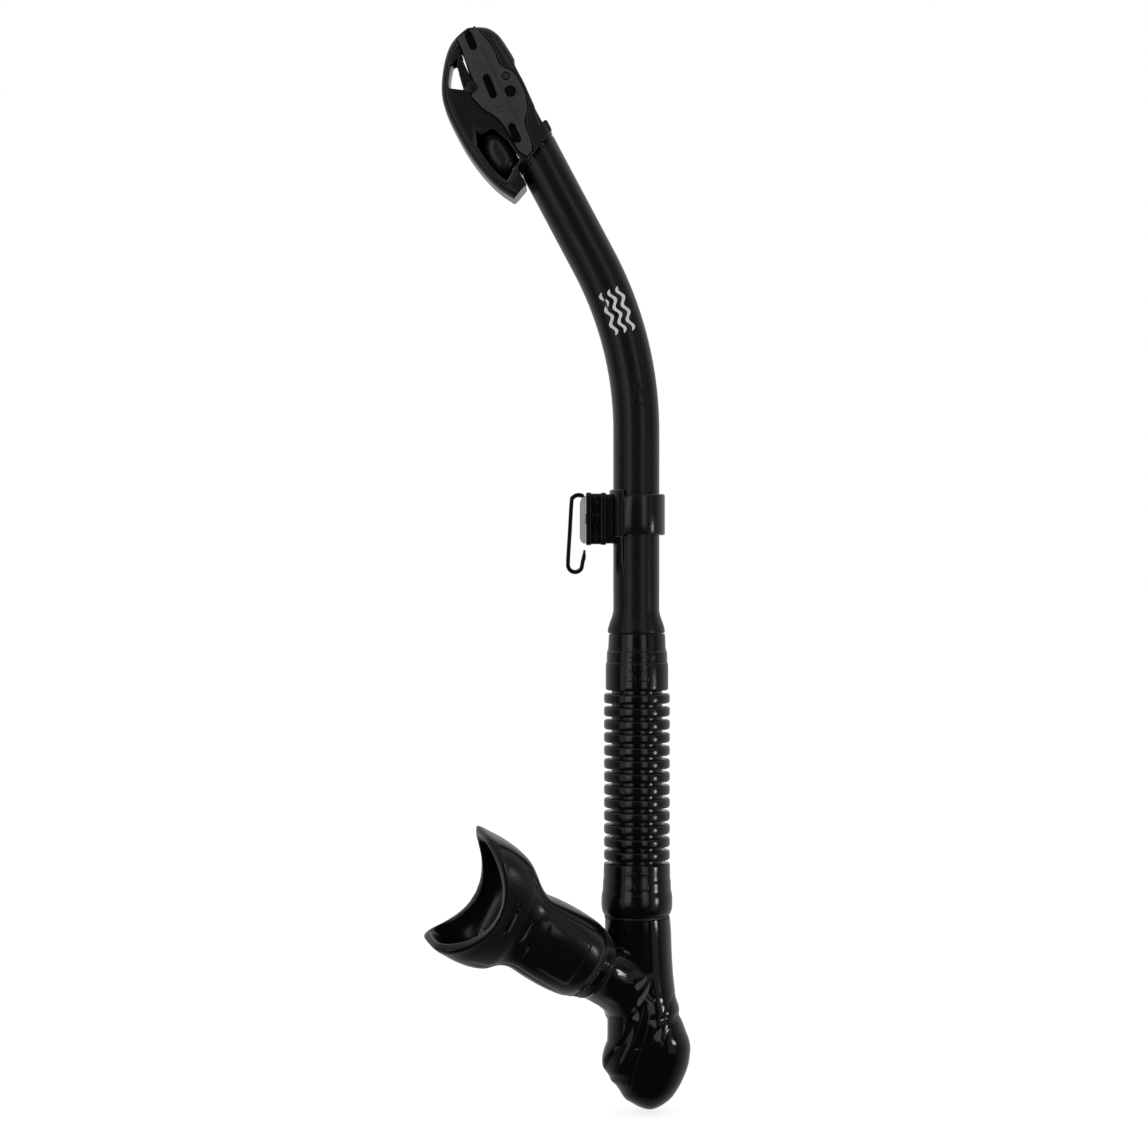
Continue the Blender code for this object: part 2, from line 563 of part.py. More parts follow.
def make_strap_hook():
    """An upright plate on the rivet and a J-shaped strip round it, open at the lower end."""
    leg_top, leg_low = 9.0, -19.8
    path = [(0.3, 9.6), (-1.2, 10.2), (-3.2, 9.9), (-4.6, leg_top - 1.2), (-6.2, leg_low + 1.0)]
    radius = 3.0
    centre = Vector((-6.2 + radius, leg_low))
    for step in range(1, 6):
        angle = math.pi + math.pi * step / 6
        path.append((centre.x + radius * math.cos(angle), centre.y + radius * math.sin(angle)))
    path += [(0.2, leg_low + 1.0), (0.5, -12.6)]
    frame = empty("hook_frame", (HOOK_PLATE_X, 0, KEEPER_Z), Matrix.Rotation(math.pi / 2, 3, "X"))
    hook = plate("strap_hook", strip_outline(path, HOOK_STRIP), -HOOK_WIDTH / 2, HOOK_WIDTH / 2,
                 GREY_PLASTIC, frame)
    half = HOOK_PLATE / 2
    leg = [(half, 10.2), (0.0, 9.8), (-half, 7.2), (-half, -10.4), (half, -10.4)]
    boolean(hook, plate("hook_plate", leg, -HOOK_WIDTH / 2, HOOK_WIDTH / 2, parent=frame), "UNION")
    hole = cylinder("hook_hole", RIVET_RADIUS + GAP, -3, 3, segments=16,
                    rotation=(0, -math.pi / 2, 0), parent=frame)
    boolean(hook, hole)
    recess = cylinder("rivet_recess", RIVET_HEAD_RADIUS + GAP, half - 1.4, 3, segments=16,
                      rotation=(0, -math.pi / 2, 0), parent=frame)
    boolean(hook, recess)


# ---------------------------------------------------------------- flexible hose

def make_hose():
    top_cuff = [(12.4, BARREL_FOOT_Z - GAP), (12.7, 112.0), (13.5, 100.0), (13.5, HOSE_TOP),
                (HOSE_BORE, HOSE_TOP), (HOSE_BORE, 105.2), (BARREL_SPIGOT_RADIUS + GAP, 105.2),
                (BARREL_SPIGOT_RADIUS + GAP, BARREL_FOOT_Z - GAP)]
    turned("hose_cuff_upper", top_cuff, GLOSS_BLACK)
    half = RING_HEIGHT / 2
    section = [(RING_RADIUS, half), (RING_RADIUS, -half), (HOSE_BORE, -half), (HOSE_BORE, half)]
    mesh = turned_mesh("hose_ring", section)
    for i in range(RING_COUNT):
        z = HOSE_TOP - GROOVE - half - i * (GROOVE + RING_HEIGHT)
        ring = add_piece(f"hose_ring_{i + 1:02d}", mesh, GLOSS_BLACK, location=(0, 0, z))
        turn(ring, 24)
    low_cuff = [(14.3, HOSE_BOTTOM), (14.6, 16.0), (15.3, 8.0), (15.2, 4.0), (14.2, 0.7),
                (SPIGOT_RADIUS + GAP, 0.7), (SPIGOT_RADIUS + GAP, SPIGOT_LENGTH + 0.8),
                (HOSE_BORE, SPIGOT_LENGTH + 0.8), (HOSE_BORE, HOSE_BOTTOM)]
    turned("hose_cuff_lower", low_cuff, GLOSS_BLACK)


# ---------------------------------------------------------------- lower unit

# Right and left edges and half depth of the lower unit, at heights below the hose joint
LOWER_SECTIONS = [(-20.0, -13.7, 15.2, 14.0), (-27.0, -13.6, 15.8, 14.0), (-33.0, -13.5, 16.6, 14.0),
                  (-39.0, -13.4, 18.0, 14.1), (-46.0, -13.3, 19.8, 14.3), (-52.0, -13.2, 22.2, 14.4),
                  (-57.5, -14.3, 23.1, 14.2), (-62.5, -14.9, 22.7, 13.7), (-67.0, -13.8, 21.4, 12.6),
                  (-71.5, -10.8, 19.5, 11.0), (-76.5, -7.2, 16.7, 8.8), (-80.7, -2.6, 12.6, 6.2),
                  (-83.7, 1.8, 8.8, 3.0)]


def lower_section(z):
    """Left edge, right edge and half depth at a height, straight between the listed sections."""
    for upper, lower in zip(LOWER_SECTIONS, LOWER_SECTIONS[1:]):
        if z >= lower[0]:
            break
    share = min(max((upper[0] - z) / (upper[0] - lower[0]), 0.0), 1.0)
    return [a + (b - a) * share for a, b in zip(upper[1:], lower[1:])]


def lower_ring(z, inset=0.0, slope=0.0):
    left, right, depth = lower_section(z)
    centre = (left + right) / 2
    half = (right - left) / 2
    return [Vector((centre + x, y, z + slope * (centre + x)))
            for x, y in oval(half - inset, depth - inset, count=28)]


# The branch's frame has Z along the branch towards the mouth and X up across it.
PORT_AXIS = Vector((-math.cos(PORT_RISE) * math.cos(PORT_YAW), -math.sin(PORT_YAW),
                    math.sin(PORT_RISE) * math.cos(PORT_YAW)))
PORT_ACROSS = Vector((math.sin(PORT_RISE), 0, math.cos(PORT_RISE)))
PORT = empty("port_frame", (0, 0, PORT_Z),
             Matrix((PORT_ACROSS, PORT_AXIS.cross(PORT_ACROSS), PORT_AXIS)).transposed())


def make_chamber_ring():
    ring = [(14.0, 0.4), (14.0, -0.4), (SPIGOT_RADIUS + GAP, -0.4), (SPIGOT_RADIUS + GAP, 0.4)]
    turned("chamber_ring", ring, SATIN_BLACK)


def make_purge_chamber():
    top = -0.7
    collar = [[Vector((radius * x, radius * y, z)) for x, y in oval(1, 1, count=28)]
              for radius, z in ((SPIGOT_RADIUS, SPIGOT_LENGTH), (SPIGOT_RADIUS, top), (CHAMBER_RADIUS, top))]
    body = [lower_ring(z) for z in (-20.0, -27.0, -33.0, -39.0)]
    chamber = loft("purge_chamber", collar + body + [lower_ring(SPLIT_Z, slope=SPLIT_SLOPE)], GLOSS_BLACK)
    groove = NOZZLE_RADIUS - 1.0
    branch = [(0, NOZZLE_END), (NOZZLE_RADIUS, NOZZLE_END), (NOZZLE_RADIUS, SEAL_GROOVE[1]),
              (groove, SEAL_GROOVE[1]), (groove, SEAL_GROOVE[0]), (NOZZLE_RADIUS, SEAL_GROOVE[0]),
              (NOZZLE_RADIUS, BRANCH_END), (BRANCH_LIP_RADIUS, BRANCH_END), (BRANCH_RADIUS, 14.5),
              (BRANCH_RADIUS, 5.0), (0, 5.0)]
    boolean(chamber, turned("branch", branch, None, 28, closed=False, parent=PORT), "UNION")
    room = [(0, SPIGOT_LENGTH + 1), (HOSE_BORE - 0.2, SPIGOT_LENGTH + 1), (HOSE_BORE - 0.2, -3.0),
            (CHAMBER_RADIUS - CHAMBER_WALL, -6.5), (CHAMBER_RADIUS - CHAMBER_WALL, -60.0), (0, -60.0)]
    boolean(chamber, turned("chamber_room", room, None, 28, closed=False))
    boolean(chamber, cylinder("port_bore", PORT_BORE, 2.0, NOZZLE_END + 1, segments=28, parent=PORT))


def make_purge_valve():
    seat_low = VALVE_SEAT_TOP - VALVE_SEAT_THICKNESS
    outer = CHAMBER_RADIUS - CHAMBER_WALL - GAP - 0.1
    seat = turned("purge_valve_seat", [(outer, VALVE_SEAT_TOP), (outer, seat_low), (1.5, seat_low),
                                       (1.5, VALVE_SEAT_TOP)], SATIN_BLACK, 28)
    for i in range(4):
        angle = math.pi / 4 + i * math.pi / 2
        window = cylinder(f"seat_window_{i + 1}", 2.7, seat_low - 1, VALVE_SEAT_TOP + 1, segments=12,
                          location=(5.6 * math.cos(angle), 5.6 * math.sin(angle), 0))
        boolean(seat, window)
    disc_top = seat_low - GAP
    profile = [(0, 3.4), (1.2, 3.4), (2.0, 2.8), (2.0, 2.4), (1.2, 2.2), (1.2, disc_top - VALVE_SEAT_TOP),
               (10.0, disc_top - VALVE_SEAT_TOP), (10.4, disc_top - VALVE_SEAT_TOP - 0.5),
               (10.0, disc_top - VALVE_SEAT_TOP - 0.9), (0, disc_top - VALVE_SEAT_TOP - 0.9)]
    turned("purge_valve", profile, BLACK_SILICONE, 24, closed=False, location=(0, 0, VALVE_SEAT_TOP))


def make_purge_cover():
    """The bulb below the valve, open above and with two exhaust slots low on the front."""
    rim = SPLIT_Z - 0.4
    heights = [section[0] for section in LOWER_SECTIONS if section[0] < SPLIT_Z - 4]
    outer = [lower_ring(rim, slope=SPLIT_SLOPE)] + [lower_ring(z) for z in heights]
    cover = loft("purge_cover", outer, GLOSS_BLACK)
    depths = [z for z in heights if z > -77]
    inner = [lower_ring(rim + 6, CHAMBER_WALL)] + [lower_ring(z, CHAMBER_WALL) for z in depths]
    boolean(cover, loft("cover_room", inner))
    for i, (x, z) in enumerate(((-13.0, -68.4), (-9.6, -73.6))):
        slot = box(f"exhaust_slot_{i + 1}", (9.0, 15.0, 1.8), (x, 0, z), rotation=(0, math.radians(35), 0))
        boolean(cover, slot)


def make_port_seal():
    minor = 0.5
    middle = NOZZLE_RADIUS - 0.35
    height = sum(SEAL_GROOVE) / 2
    section = []
    for i in range(6):
        angle = -2 * math.pi * i / 6
        section.append((middle + minor * math.cos(angle), height + minor * math.sin(angle)))
    turned("port_o_ring", section, BLACK_SILICONE, 24, parent=PORT)


def make_mouthpiece_swivel():
    bore = NOZZLE_RADIUS + GAP
    collar_end = MOUTHPIECE_START - 1.7
    profile = [(SWIVEL_SPIGOT_RADIUS, SWIVEL_END), (SWIVEL_SPIGOT_RADIUS, collar_end),
               (SWIVEL_RADIUS, collar_end), (SWIVEL_RADIUS, BRANCH_END + 0.4), (bore, BRANCH_END + 0.4),
               (bore, NOZZLE_END + 0.4), (PORT_BORE, NOZZLE_END + 0.4), (PORT_BORE, SWIVEL_END)]
    turned("mouthpiece_swivel", profile, GLOSS_BLACK, 28, parent=PORT)
    inner = SWIVEL_SPIGOT_RADIUS + GAP
    ring = [(16.4, MOUTHPIECE_START - 0.4), (16.4, collar_end + GAP), (inner, collar_end + GAP),
            (inner, MOUTHPIECE_START - 0.4)]
    turned("swivel_ring", ring, SATIN_BLACK, 28, parent=PORT)


def make_mouthpiece():
    """Neck over the swivel's spigot, flaring into a cupped lip flange curved towards the teeth."""
    start = MOUTHPIECE_START
    socket = SWIVEL_SPIGOT_RADIUS + GAP
    # half height, half width, distance along the branch, lead of the ends, share of shift and skew
    outside = [(16.6, 16.4, start, 0, 0), (17.4, 17.0, 33.5, 0, 0), (18.0, 16.0, 49.0, 0, 0),
               (17.2, 13.8, 61.5, 0, 0), (19.8, 13.2, 66.0, 0.5, 0.3), (24.8, 13.8, 71.8, 2.2, 1),
               (27.2, 15.0, 77.6, 8.4, 1)]
    lip = [(25.8, 15.7, 82.2, 16.9, 1)]
    inside = [(24.6, 13.9, 80.6, 14.6, 1), (24.8, 12.6, 78.0, 9.2, 1), (22.0, 11.0, 75.0, 4.8, 1),
              (16.5, 8.6, 72.6, 1.6, 0.6), (12.0, 5.6, 71.0, 0, 0), (11.0, 6.4, 61.5, 0, 0),
              (9.8, 9.4, 49.0, 0, 0), (9.8, 9.8, SWIVEL_END + 0.5, 0, 0),
              (socket, socket, SWIVEL_END + 0.5, 0, 0), (socket, socket, start, 0, 0)]
    rings = []
    for half_height, half_width, distance, lead, share in outside + lip + inside:
        power = LIP_POWER if share else 2.0
        ring = [Vector((x + FLANGE_SHIFT * share, y,
                        distance + lead * (x / half_height) ** 2 + FLANGE_SKEW * share * x))
                for x, y in oval(half_height, half_width, 28, power)]
        rings.append(ring)
    loft("mouthpiece", rings, BLACK_SILICONE, tube=True, parent=PORT)


make_barrel()
make_head_shell()
make_head_gasket()
make_side_plates()
make_float_guard()
make_pins()
make_float()
make_flap()
make_keeper_band()
make_keeper_swivel()
make_strap_hook()
make_hose()
make_chamber_ring()
make_purge_chamber()
make_purge_valve()
make_purge_cover()
make_port_seal()
make_mouthpiece_swivel()
make_mouthpiece()
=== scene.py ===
"""Looks of the dry snorkel: fine surfaces, materials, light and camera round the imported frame.

Lengths are in millimetres, measured from the centre of the joint between hose and purge chamber.
They become metres in the row frame where a mesh is made. +Z is up along the hose, -X towards the
mouthpiece and -Y towards the camera.
"""

import json
import math

import bmesh
import bpy
import numpy as np
from mathutils import Matrix, Vector


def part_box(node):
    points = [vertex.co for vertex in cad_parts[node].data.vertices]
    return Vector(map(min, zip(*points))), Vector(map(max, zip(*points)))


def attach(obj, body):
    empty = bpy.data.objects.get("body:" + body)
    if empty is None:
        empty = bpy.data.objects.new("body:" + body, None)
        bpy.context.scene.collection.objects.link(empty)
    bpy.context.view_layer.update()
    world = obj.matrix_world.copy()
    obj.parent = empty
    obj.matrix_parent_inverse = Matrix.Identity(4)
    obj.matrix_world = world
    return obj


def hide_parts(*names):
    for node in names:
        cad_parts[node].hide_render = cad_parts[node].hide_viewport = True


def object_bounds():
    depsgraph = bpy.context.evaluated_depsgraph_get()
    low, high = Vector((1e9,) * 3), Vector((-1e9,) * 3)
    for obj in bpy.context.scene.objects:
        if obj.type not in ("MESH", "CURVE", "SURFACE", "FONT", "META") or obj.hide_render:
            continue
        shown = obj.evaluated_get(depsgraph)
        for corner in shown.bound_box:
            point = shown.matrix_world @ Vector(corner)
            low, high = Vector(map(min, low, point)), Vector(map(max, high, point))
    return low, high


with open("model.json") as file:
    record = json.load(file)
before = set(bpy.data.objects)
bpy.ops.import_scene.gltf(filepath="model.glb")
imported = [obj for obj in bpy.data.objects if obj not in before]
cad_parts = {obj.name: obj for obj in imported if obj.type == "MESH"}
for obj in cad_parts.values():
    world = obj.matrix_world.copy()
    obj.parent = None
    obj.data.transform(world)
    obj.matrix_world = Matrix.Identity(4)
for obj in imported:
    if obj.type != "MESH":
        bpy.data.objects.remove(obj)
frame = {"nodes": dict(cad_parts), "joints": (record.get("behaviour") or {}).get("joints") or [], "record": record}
CAD_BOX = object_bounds()
MM = 0.001
GAP = 0.3  # clearance between neighbouring pieces, as in the frame
JOINTS = {joint["name"]: joint for joint in frame["joints"]}
HOME = sum(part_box("chamber_ring"), Vector()) / 2
TO_ROW = Matrix.Translation(HOME) @ Matrix.Scale(MM, 4)
QUARTER_X = Matrix.Rotation(math.pi / 2, 4, "X")


def local(place):
    """A place in the row frame, as millimetres from the hose joint's centre."""
    return (Vector(place) - HOME) / MM


def box_mm(node):
    low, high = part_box(node)
    return local(low), local(high)


def joint_mm(name):
    return local(JOINTS[name]["pos_m"])


# ---------------------------------------------------------------- mesh helpers

def link(name, mesh):
    made = bpy.data.objects.new(name, mesh)
    bpy.context.scene.collection.objects.link(made)
    return made


def shade(mesh, angle=40.0):
    mesh.shade_smooth()
    mesh.set_sharp_from_angle(angle=math.radians(angle))


def close_mesh(mesh, angle=40.0):
    """Faces pointing out, smooth with sharp edges where they fold."""
    bm = bmesh.new()
    bm.from_mesh(mesh)
    bmesh.ops.recalc_face_normals(bm, faces=bm.faces)
    if bm.calc_volume(signed=True) < 0:
        bmesh.ops.reverse_faces(bm, faces=bm.faces)
    bm.to_mesh(mesh)
    bm.free()
    shade(mesh, angle)


def mesh_object(name, points, faces, matrix=None, angle=40.0):
    """An object from points in millimetres, put into the row frame by matrix."""
    mesh = bpy.data.meshes.new(name)
    mesh.from_pydata([tuple(point) for point in points], [], faces)
    close_mesh(mesh, angle)
    if matrix is not None:
        mesh.transform(matrix)
    mesh.transform(TO_ROW)
    return link(name, mesh)


def skin(name, rings, tube=False, matrix=None, angle=40.0):
    """A skin over equal rings of points; a tube's last ring joins its first, else its ends close."""
    rings = np.asarray(rings, float)
    count, around = rings.shape[:2]
    faces = []
    for r in range(count if tube else count - 1):
        a, b = r * around, (r + 1) % count * around
        for i in range(around):
            j = (i + 1) % around
            faces.append((a + i, a + j, b + j, b + i))
    if not tube:
        last = (count - 1) * around
        faces.append(tuple(range(around))[::-1])
        faces.append(tuple(last + i for i in range(around)))
    return mesh_object(name, rings.reshape(-1, 3), faces, matrix, angle)


def turns(count):
    """Angles evenly round a circle."""
    return np.arange(count) * 2 * math.pi / count


def disc(radius, z, angles):
    """A ring of points at a height; its radius may differ from angle to angle."""
    return np.stack([radius * np.cos(angles), radius * np.sin(angles), np.full(len(angles), z)], 1)


def turned(name, profile, segments=128, matrix=None, angle=40.0, tube=True):
    """A ring-shaped piece turned about Z from a closed (radius, z) profile."""
    angles = turns(segments)
    return skin(name, [disc(radius, z, angles) for radius, z in profile], tube, matrix, angle)


def spline(points, steps=6, closed=False):
    """Catmull-Rom curve through rows of numbers, steps to each span."""
    points = np.asarray(points, float)
    count = len(points)
    spans = count if closed else count - 1
    made = []
    for k in range(spans):
        if closed:
            p0, p1, p2, p3 = (points[(k + d) % count] for d in (-1, 0, 1, 2))
        else:
            p1, p2 = points[k], points[k + 1]
            p0 = points[k - 1] if k else 2 * p1 - p2
            p3 = points[k + 2] if k + 2 < count else 2 * p2 - p1
        for s in range(steps):
            t = s / steps
            made.append(0.5 * (2 * p1 + (p2 - p0) * t + (2 * p0 - 5 * p1 + 4 * p2 - p3) * t * t
                               + (3 * p1 - 3 * p2 + p3 - p0) * t ** 3))
    if not closed:
        made.append(points[-1])
    return np.array(made)


def smoothstep(low, high, value):
    t = np.clip((np.asarray(value, float) - low) / (high - low), 0, 1)
    return t * t * (3 - 2 * t)


def oval(half_x, half_y, count, power=2.0):
    c, s = np.cos(turns(count)), np.sin(turns(count))
    return np.sign(c) * abs(c) ** (2 / power) * half_x, np.sign(s) * abs(s) ** (2 / power) * half_y


def rounded(corners, radius, steps=5):
    """A closed outline with each corner cut back by radius and rounded."""
    corners = [Vector(corner) for corner in corners]
    outline = []
    for i, corner in enumerate(corners):
        before, after = corners[i - 1], corners[(i + 1) % len(corners)]
        start = corner + (before - corner).normalized() * radius
        end = corner + (after - corner).normalized() * radius
        for s in range(steps + 1):
            t = s / steps
            outline.append(tuple(start * (1 - t) ** 2 + corner * 2 * t * (1 - t) + end * t * t))
    return outline


def extruded(name, loops, low, high, edge=0.0, matrix=None, steps=8, edge_steps=3):
    """Flat loops, the first the outline and the rest holes, from low to high along Z.

    A third value on a point rounds the outline there. Edges are rounded by edge.
    """
    curve = bpy.data.curves.new(name, "CURVE")
    curve.dimensions = "2D"
    curve.fill_mode = "BOTH"
    curve.extrude = (high - low) / 2
    curve.resolution_u = steps
    for loop in loops:
        flow = curve.splines.new("BEZIER")
        flow.bezier_points.add(len(loop) - 1)
        for point, place in zip(flow.bezier_points, loop):
            kind = "AUTO" if len(place) > 2 else "VECTOR"
            point.co = (place[0], place[1], 0.0)
            point.handle_left_type = kind
            point.handle_right_type = kind
        flow.use_cyclic_u = True
    holder = link(name + "_curve", curve)
    mesh = bpy.data.meshes.new_from_object(holder.evaluated_get(bpy.context.evaluated_depsgraph_get()))
    bpy.data.objects.remove(holder)
    bm = bmesh.new()
    bm.from_mesh(mesh)
    bmesh.ops.remove_doubles(bm, verts=bm.verts, dist=0.01)
    bmesh.ops.dissolve_limit(bm, angle_limit=0.001, verts=bm.verts, edges=bm.edges)
    if edge:
        folds = [e for e in bm.edges if len(e.link_faces) == 2 and e.calc_face_angle(0) > 0.9
                 and abs(e.verts[0].co.z - e.verts[1].co.z) < 0.001]
        bmesh.ops.bevel(bm, geom=folds, offset=edge, segments=edge_steps, profile=0.5, affect="EDGES",
                        clamp_overlap=False)
    bmesh.ops.translate(bm, vec=(0, 0, (low + high) / 2), verts=bm.verts)
    bm.to_mesh(mesh)
    bm.free()
    mesh.name = name
    close_mesh(mesh)
    if matrix is not None:
        mesh.transform(matrix)
    mesh.transform(TO_ROW)
    return link(name, mesh)


def flow_outline(points, steps=8):
    """Points along a closed outline, curving through those with a third value and straight at the rest."""
    count = len(points)
    made = []
    for i, point in enumerate(points):
        start, end = Vector(point[:2]), Vector(points[(i + 1) % count][:2])
        before, after = Vector(points[i - 1][:2]), Vector(points[(i + 2) % count][:2])
        reach = (end - start).length / 3
        leave = (end - before).normalized() * reach if len(point) > 2 else (end - start) / 3
        curved = len(points[(i + 1) % count]) > 2
        arrive = (after - start).normalized() * reach if curved else (end - start) / 3
        for s in range(steps):
            t = s / steps
            a, b = start + leave, end - arrive
            made.append(start * (1 - t) ** 3 + a * 3 * t * (1 - t) ** 2
                        + b * 3 * t * t * (1 - t) + end * t ** 3)
    return made


def pebble(name, outline, low, high, edge, matrix=None, around=160, edge_steps=8):
    """A convex outline between low and high along Z, rounded all round its two rims by edge."""
    dense = np.array([tuple(p) for p in flow_outline(outline)], float)
    centre = (dense.min(0) + dense.max(0)) / 2
    dense = dense - centre
    sides = np.roll(dense, -1, 0) - dense
    keep = np.linalg.norm(sides, axis=1) > 0.001
    dense, sides = dense[keep], sides[keep]
    normals = np.stack([sides[:, 1], -sides[:, 0]], 1)
    normals /= np.linalg.norm(normals, axis=1)[:, None]
    reach = (normals * dense).sum(1)
    if reach.mean() < 0:
        normals, reach = -normals, -reach
    turn = turns(around)
    ways = np.stack([np.cos(turn), np.sin(turn)], 1)
    facing = ways @ normals.T

    def ring(inset, z):
        radius = np.where(facing > 0.02, (reach - inset) / np.maximum(facing, 0.02), 1e9).min(1)
        return np.column_stack([ways * radius[:, None] + centre, np.full(around, z)])

    rings = []
    for end, way in ((low, 1), (high, -1)):
        part = []
        for k in range(edge_steps + 1):
            angle = math.pi / 2 * k / edge_steps
            part.append(ring(edge * (1 - math.sin(angle)), end + way * edge * (1 - math.cos(angle))))
        rings += part if end == low else part[::-1]
    return skin(name, rings, matrix=matrix, angle=50)


def apply_modifiers(piece):
    evaluated = piece.evaluated_get(bpy.context.evaluated_depsgraph_get())
    mesh = bpy.data.meshes.new_from_object(evaluated)
    piece.modifiers.clear()
    old = piece.data
    piece.data = mesh
    bpy.data.meshes.remove(old)


def combine(target, tools, operation="DIFFERENCE"):
    """Cuts the tools out of the target, joins them to it, or keeps what they share."""
    for tool in tools:
        modifier = target.modifiers.new(tool.name, "BOOLEAN")
        modifier.operation = operation
        modifier.solver = "EXACT"
        modifier.object = tool
    apply_modifiers(target)
    for tool in tools:
        bpy.data.objects.remove(tool)
    return target


def soften(piece, voxel, rounds):
    """One even skin over the joined shapes, with every edge and inner corner rounded a little."""
    remesh = piece.modifiers.new("skin", "REMESH")
    remesh.mode = "VOXEL"
    remesh.voxel_size = voxel * MM
    remesh.use_smooth_shade = True
    smooth = piece.modifiers.new("soften", "SMOOTH")
    smooth.factor = 0.5
    smooth.iterations = rounds
    apply_modifiers(piece)
    piece.data.shade_smooth()
    return piece


def bead(name, path, radius, flat=1.0, sides=12):
    """A round cord with domed ends along a path; flat squeezes it towards the camera's side."""
    path = np.asarray(path, float)
    tangent = np.gradient(path, axis=0)
    tangent /= np.linalg.norm(tangent, axis=1)[:, None]
    rings = []
    ends = [(0, -0.95, 0.3), (0, -0.6, 0.8)] + [(i, 0, 1) for i in range(len(path))]
    ends += [(-1, 0.6, 0.8), (-1, 0.95, 0.3)]
    turn = turns(sides)
    for index, ahead, size in ends:
        along = tangent[index]
        side = np.cross(along, (0.0, -1.0, 0.0))
        side /= np.linalg.norm(side)
        normal = np.cross(side, along)
        centre = path[index] + along * ahead * radius
        rings.append(centre + np.outer(np.cos(turn), side) * radius * size
                     + np.outer(np.sin(turn), normal) * radius * size * flat)
    return skin(name, rings, angle=80)


def pad(name, outline, place, height, edge=0.35, sunk=0.4):
    """A raised pad with a rounded rim; place turns (across, along, height) into a point."""
    outline = np.array([point[:2] for point in outline], float)
    centre = outline.mean(0)
    reach = np.linalg.norm(outline - centre, axis=1).mean()
    rings = []
    for inset, lift in ((0, -sunk), (0, height * 0.35), (0.12, height * 0.72), (0.45, height * 0.95),
                        (1.0, height), (reach / edge * 0.55, height), (reach / edge * 0.98, height)):
        shrunk = centre + (outline - centre) * (1 - inset * edge / reach)
        rings.append([place(x, z, lift) for x, z in shrunk])
    return skin(name, rings, angle=50)


# ---------------------------------------------------------------- materials

def node_material(name):
    made = bpy.data.materials.new(name)
    made.use_nodes = True
    return made, made.node_tree.nodes, made.node_tree.links


def socket(links, value, target):
    """Links a node's output into target, or sets a plain value there."""
    if hasattr(value, "is_linked"):
        links.new(value, target)
    else:
        target.default_value = value


def math_node(nodes, links, operation, first, second):
    made = nodes.new("ShaderNodeMath")
    made.operation = operation
    socket(links, first, made.inputs[0])
    socket(links, second, made.inputs[1])
    return made.outputs[0]


def noise(nodes, links, scale, detail=4.0, roughness=0.55, stretch=None):
    """Noise in object space, a value round 0.5; stretch scales its axes."""
    place = nodes.new("ShaderNodeTexCoord").outputs["Object"]
    if stretch is not None:
        mapping = nodes.new("ShaderNodeMapping")
        mapping.inputs["Scale"].default_value = stretch
        links.new(place, mapping.inputs["Vector"])
        place = mapping.outputs[0]
    made = nodes.new("ShaderNodeTexNoise")
    made.inputs["Scale"].default_value = scale
    made.inputs["Detail"].default_value = detail
    made.inputs["Roughness"].default_value = roughness
    links.new(place, made.inputs["Vector"])
    return made.outputs["Fac"]


def ranged(nodes, links, value, low, high, to_low, to_high):
    made = nodes.new("ShaderNodeMapRange")
    links.new(value, made.inputs["Value"])
    for key, number in (("From Min", low), ("From Max", high), ("To Min", to_low), ("To Max", to_high)):
        made.inputs[key].default_value = number
    return made.outputs["Result"]


def moulded(name, colour, roughness, spread=0.05, grain=0.0, grain_scale=2500.0, wear=0.0,
            wave=0.0, shine=0.5, streaks=0.0, tint=0.25):
    """A moulded plastic or rubber.

    Broad and fine noise vary its roughness by spread and its colour by tint, grain is the depth in
    millimetres of the tool's texture, wave that of slow unevenness, streaks that of faint flow lines
    along the piece, and wear lightens the edges that rub.
    """
    material, nodes, links = node_material(name)
    shader = nodes["Principled BSDF"]
    broad = noise(nodes, links, 60.0)
    fine = noise(nodes, links, 900.0, 6.0, 0.7)
    mottle = math_node(nodes, links, "MULTIPLY", broad, fine)
    rough = ranged(nodes, links, mottle, 0.12, 0.4, roughness - spread, roughness + spread)
    mix = nodes.new("ShaderNodeMix")
    mix.data_type = "RGBA"
    links.new(ranged(nodes, links, fine, 0.3, 0.7, 0.0, 1.0), mix.inputs["Factor"])
    mix.inputs["A"].default_value = (*[c * (1 - tint) for c in colour], 1.0)
    mix.inputs["B"].default_value = (*[c * (1 + tint) for c in colour], 1.0)
    shade_out = mix.outputs["Result"]
    if wear:
        edges = nodes.new("ShaderNodeNewGeometry").outputs["Pointiness"]
        scuffs = noise(nodes, links, 260.0, 8.0, 0.75)
        rub = math_node(nodes, links, "MULTIPLY", ranged(nodes, links, edges, 0.52, 0.62, 0.0, 1.0),
                        ranged(nodes, links, scuffs, 0.42, 0.68, 0.0, 1.0))
        rub = math_node(nodes, links, "MULTIPLY", rub, wear)
        worn = nodes.new("ShaderNodeMix")
        worn.data_type = "RGBA"
        links.new(rub, worn.inputs["Factor"])
        links.new(shade_out, worn.inputs["A"])
        worn.inputs["B"].default_value = (*[min(1.0, c * 3 + 0.05) for c in colour], 1.0)
        shade_out = worn.outputs["Result"]
        rough = math_node(nodes, links, "ADD", rough, math_node(nodes, links, "MULTIPLY", rub, 0.25))
    links.new(shade_out, shader.inputs["Base Color"])
    links.new(rough, shader.inputs["Roughness"])
    shader.inputs["Specular IOR Level"].default_value = shine
    last = None
    for depth, scale, stretch in ((grain, grain_scale, None), (wave, 55.0, None),
                                  (streaks, 420.0, (1.0, 1.0, 0.06))):
        if not depth:
            continue
        bump = nodes.new("ShaderNodeBump")
        bump.inputs["Strength"].default_value = 1.0
        bump.inputs["Distance"].default_value = depth * MM
        links.new(noise(nodes, links, scale, 3.0, 0.5, stretch), bump.inputs["Height"])
        if last is not None:
            links.new(last, bump.inputs["Normal"])
        last = bump.outputs["Normal"]
    if last is not None:
        links.new(last, shader.inputs["Normal"])
    return material


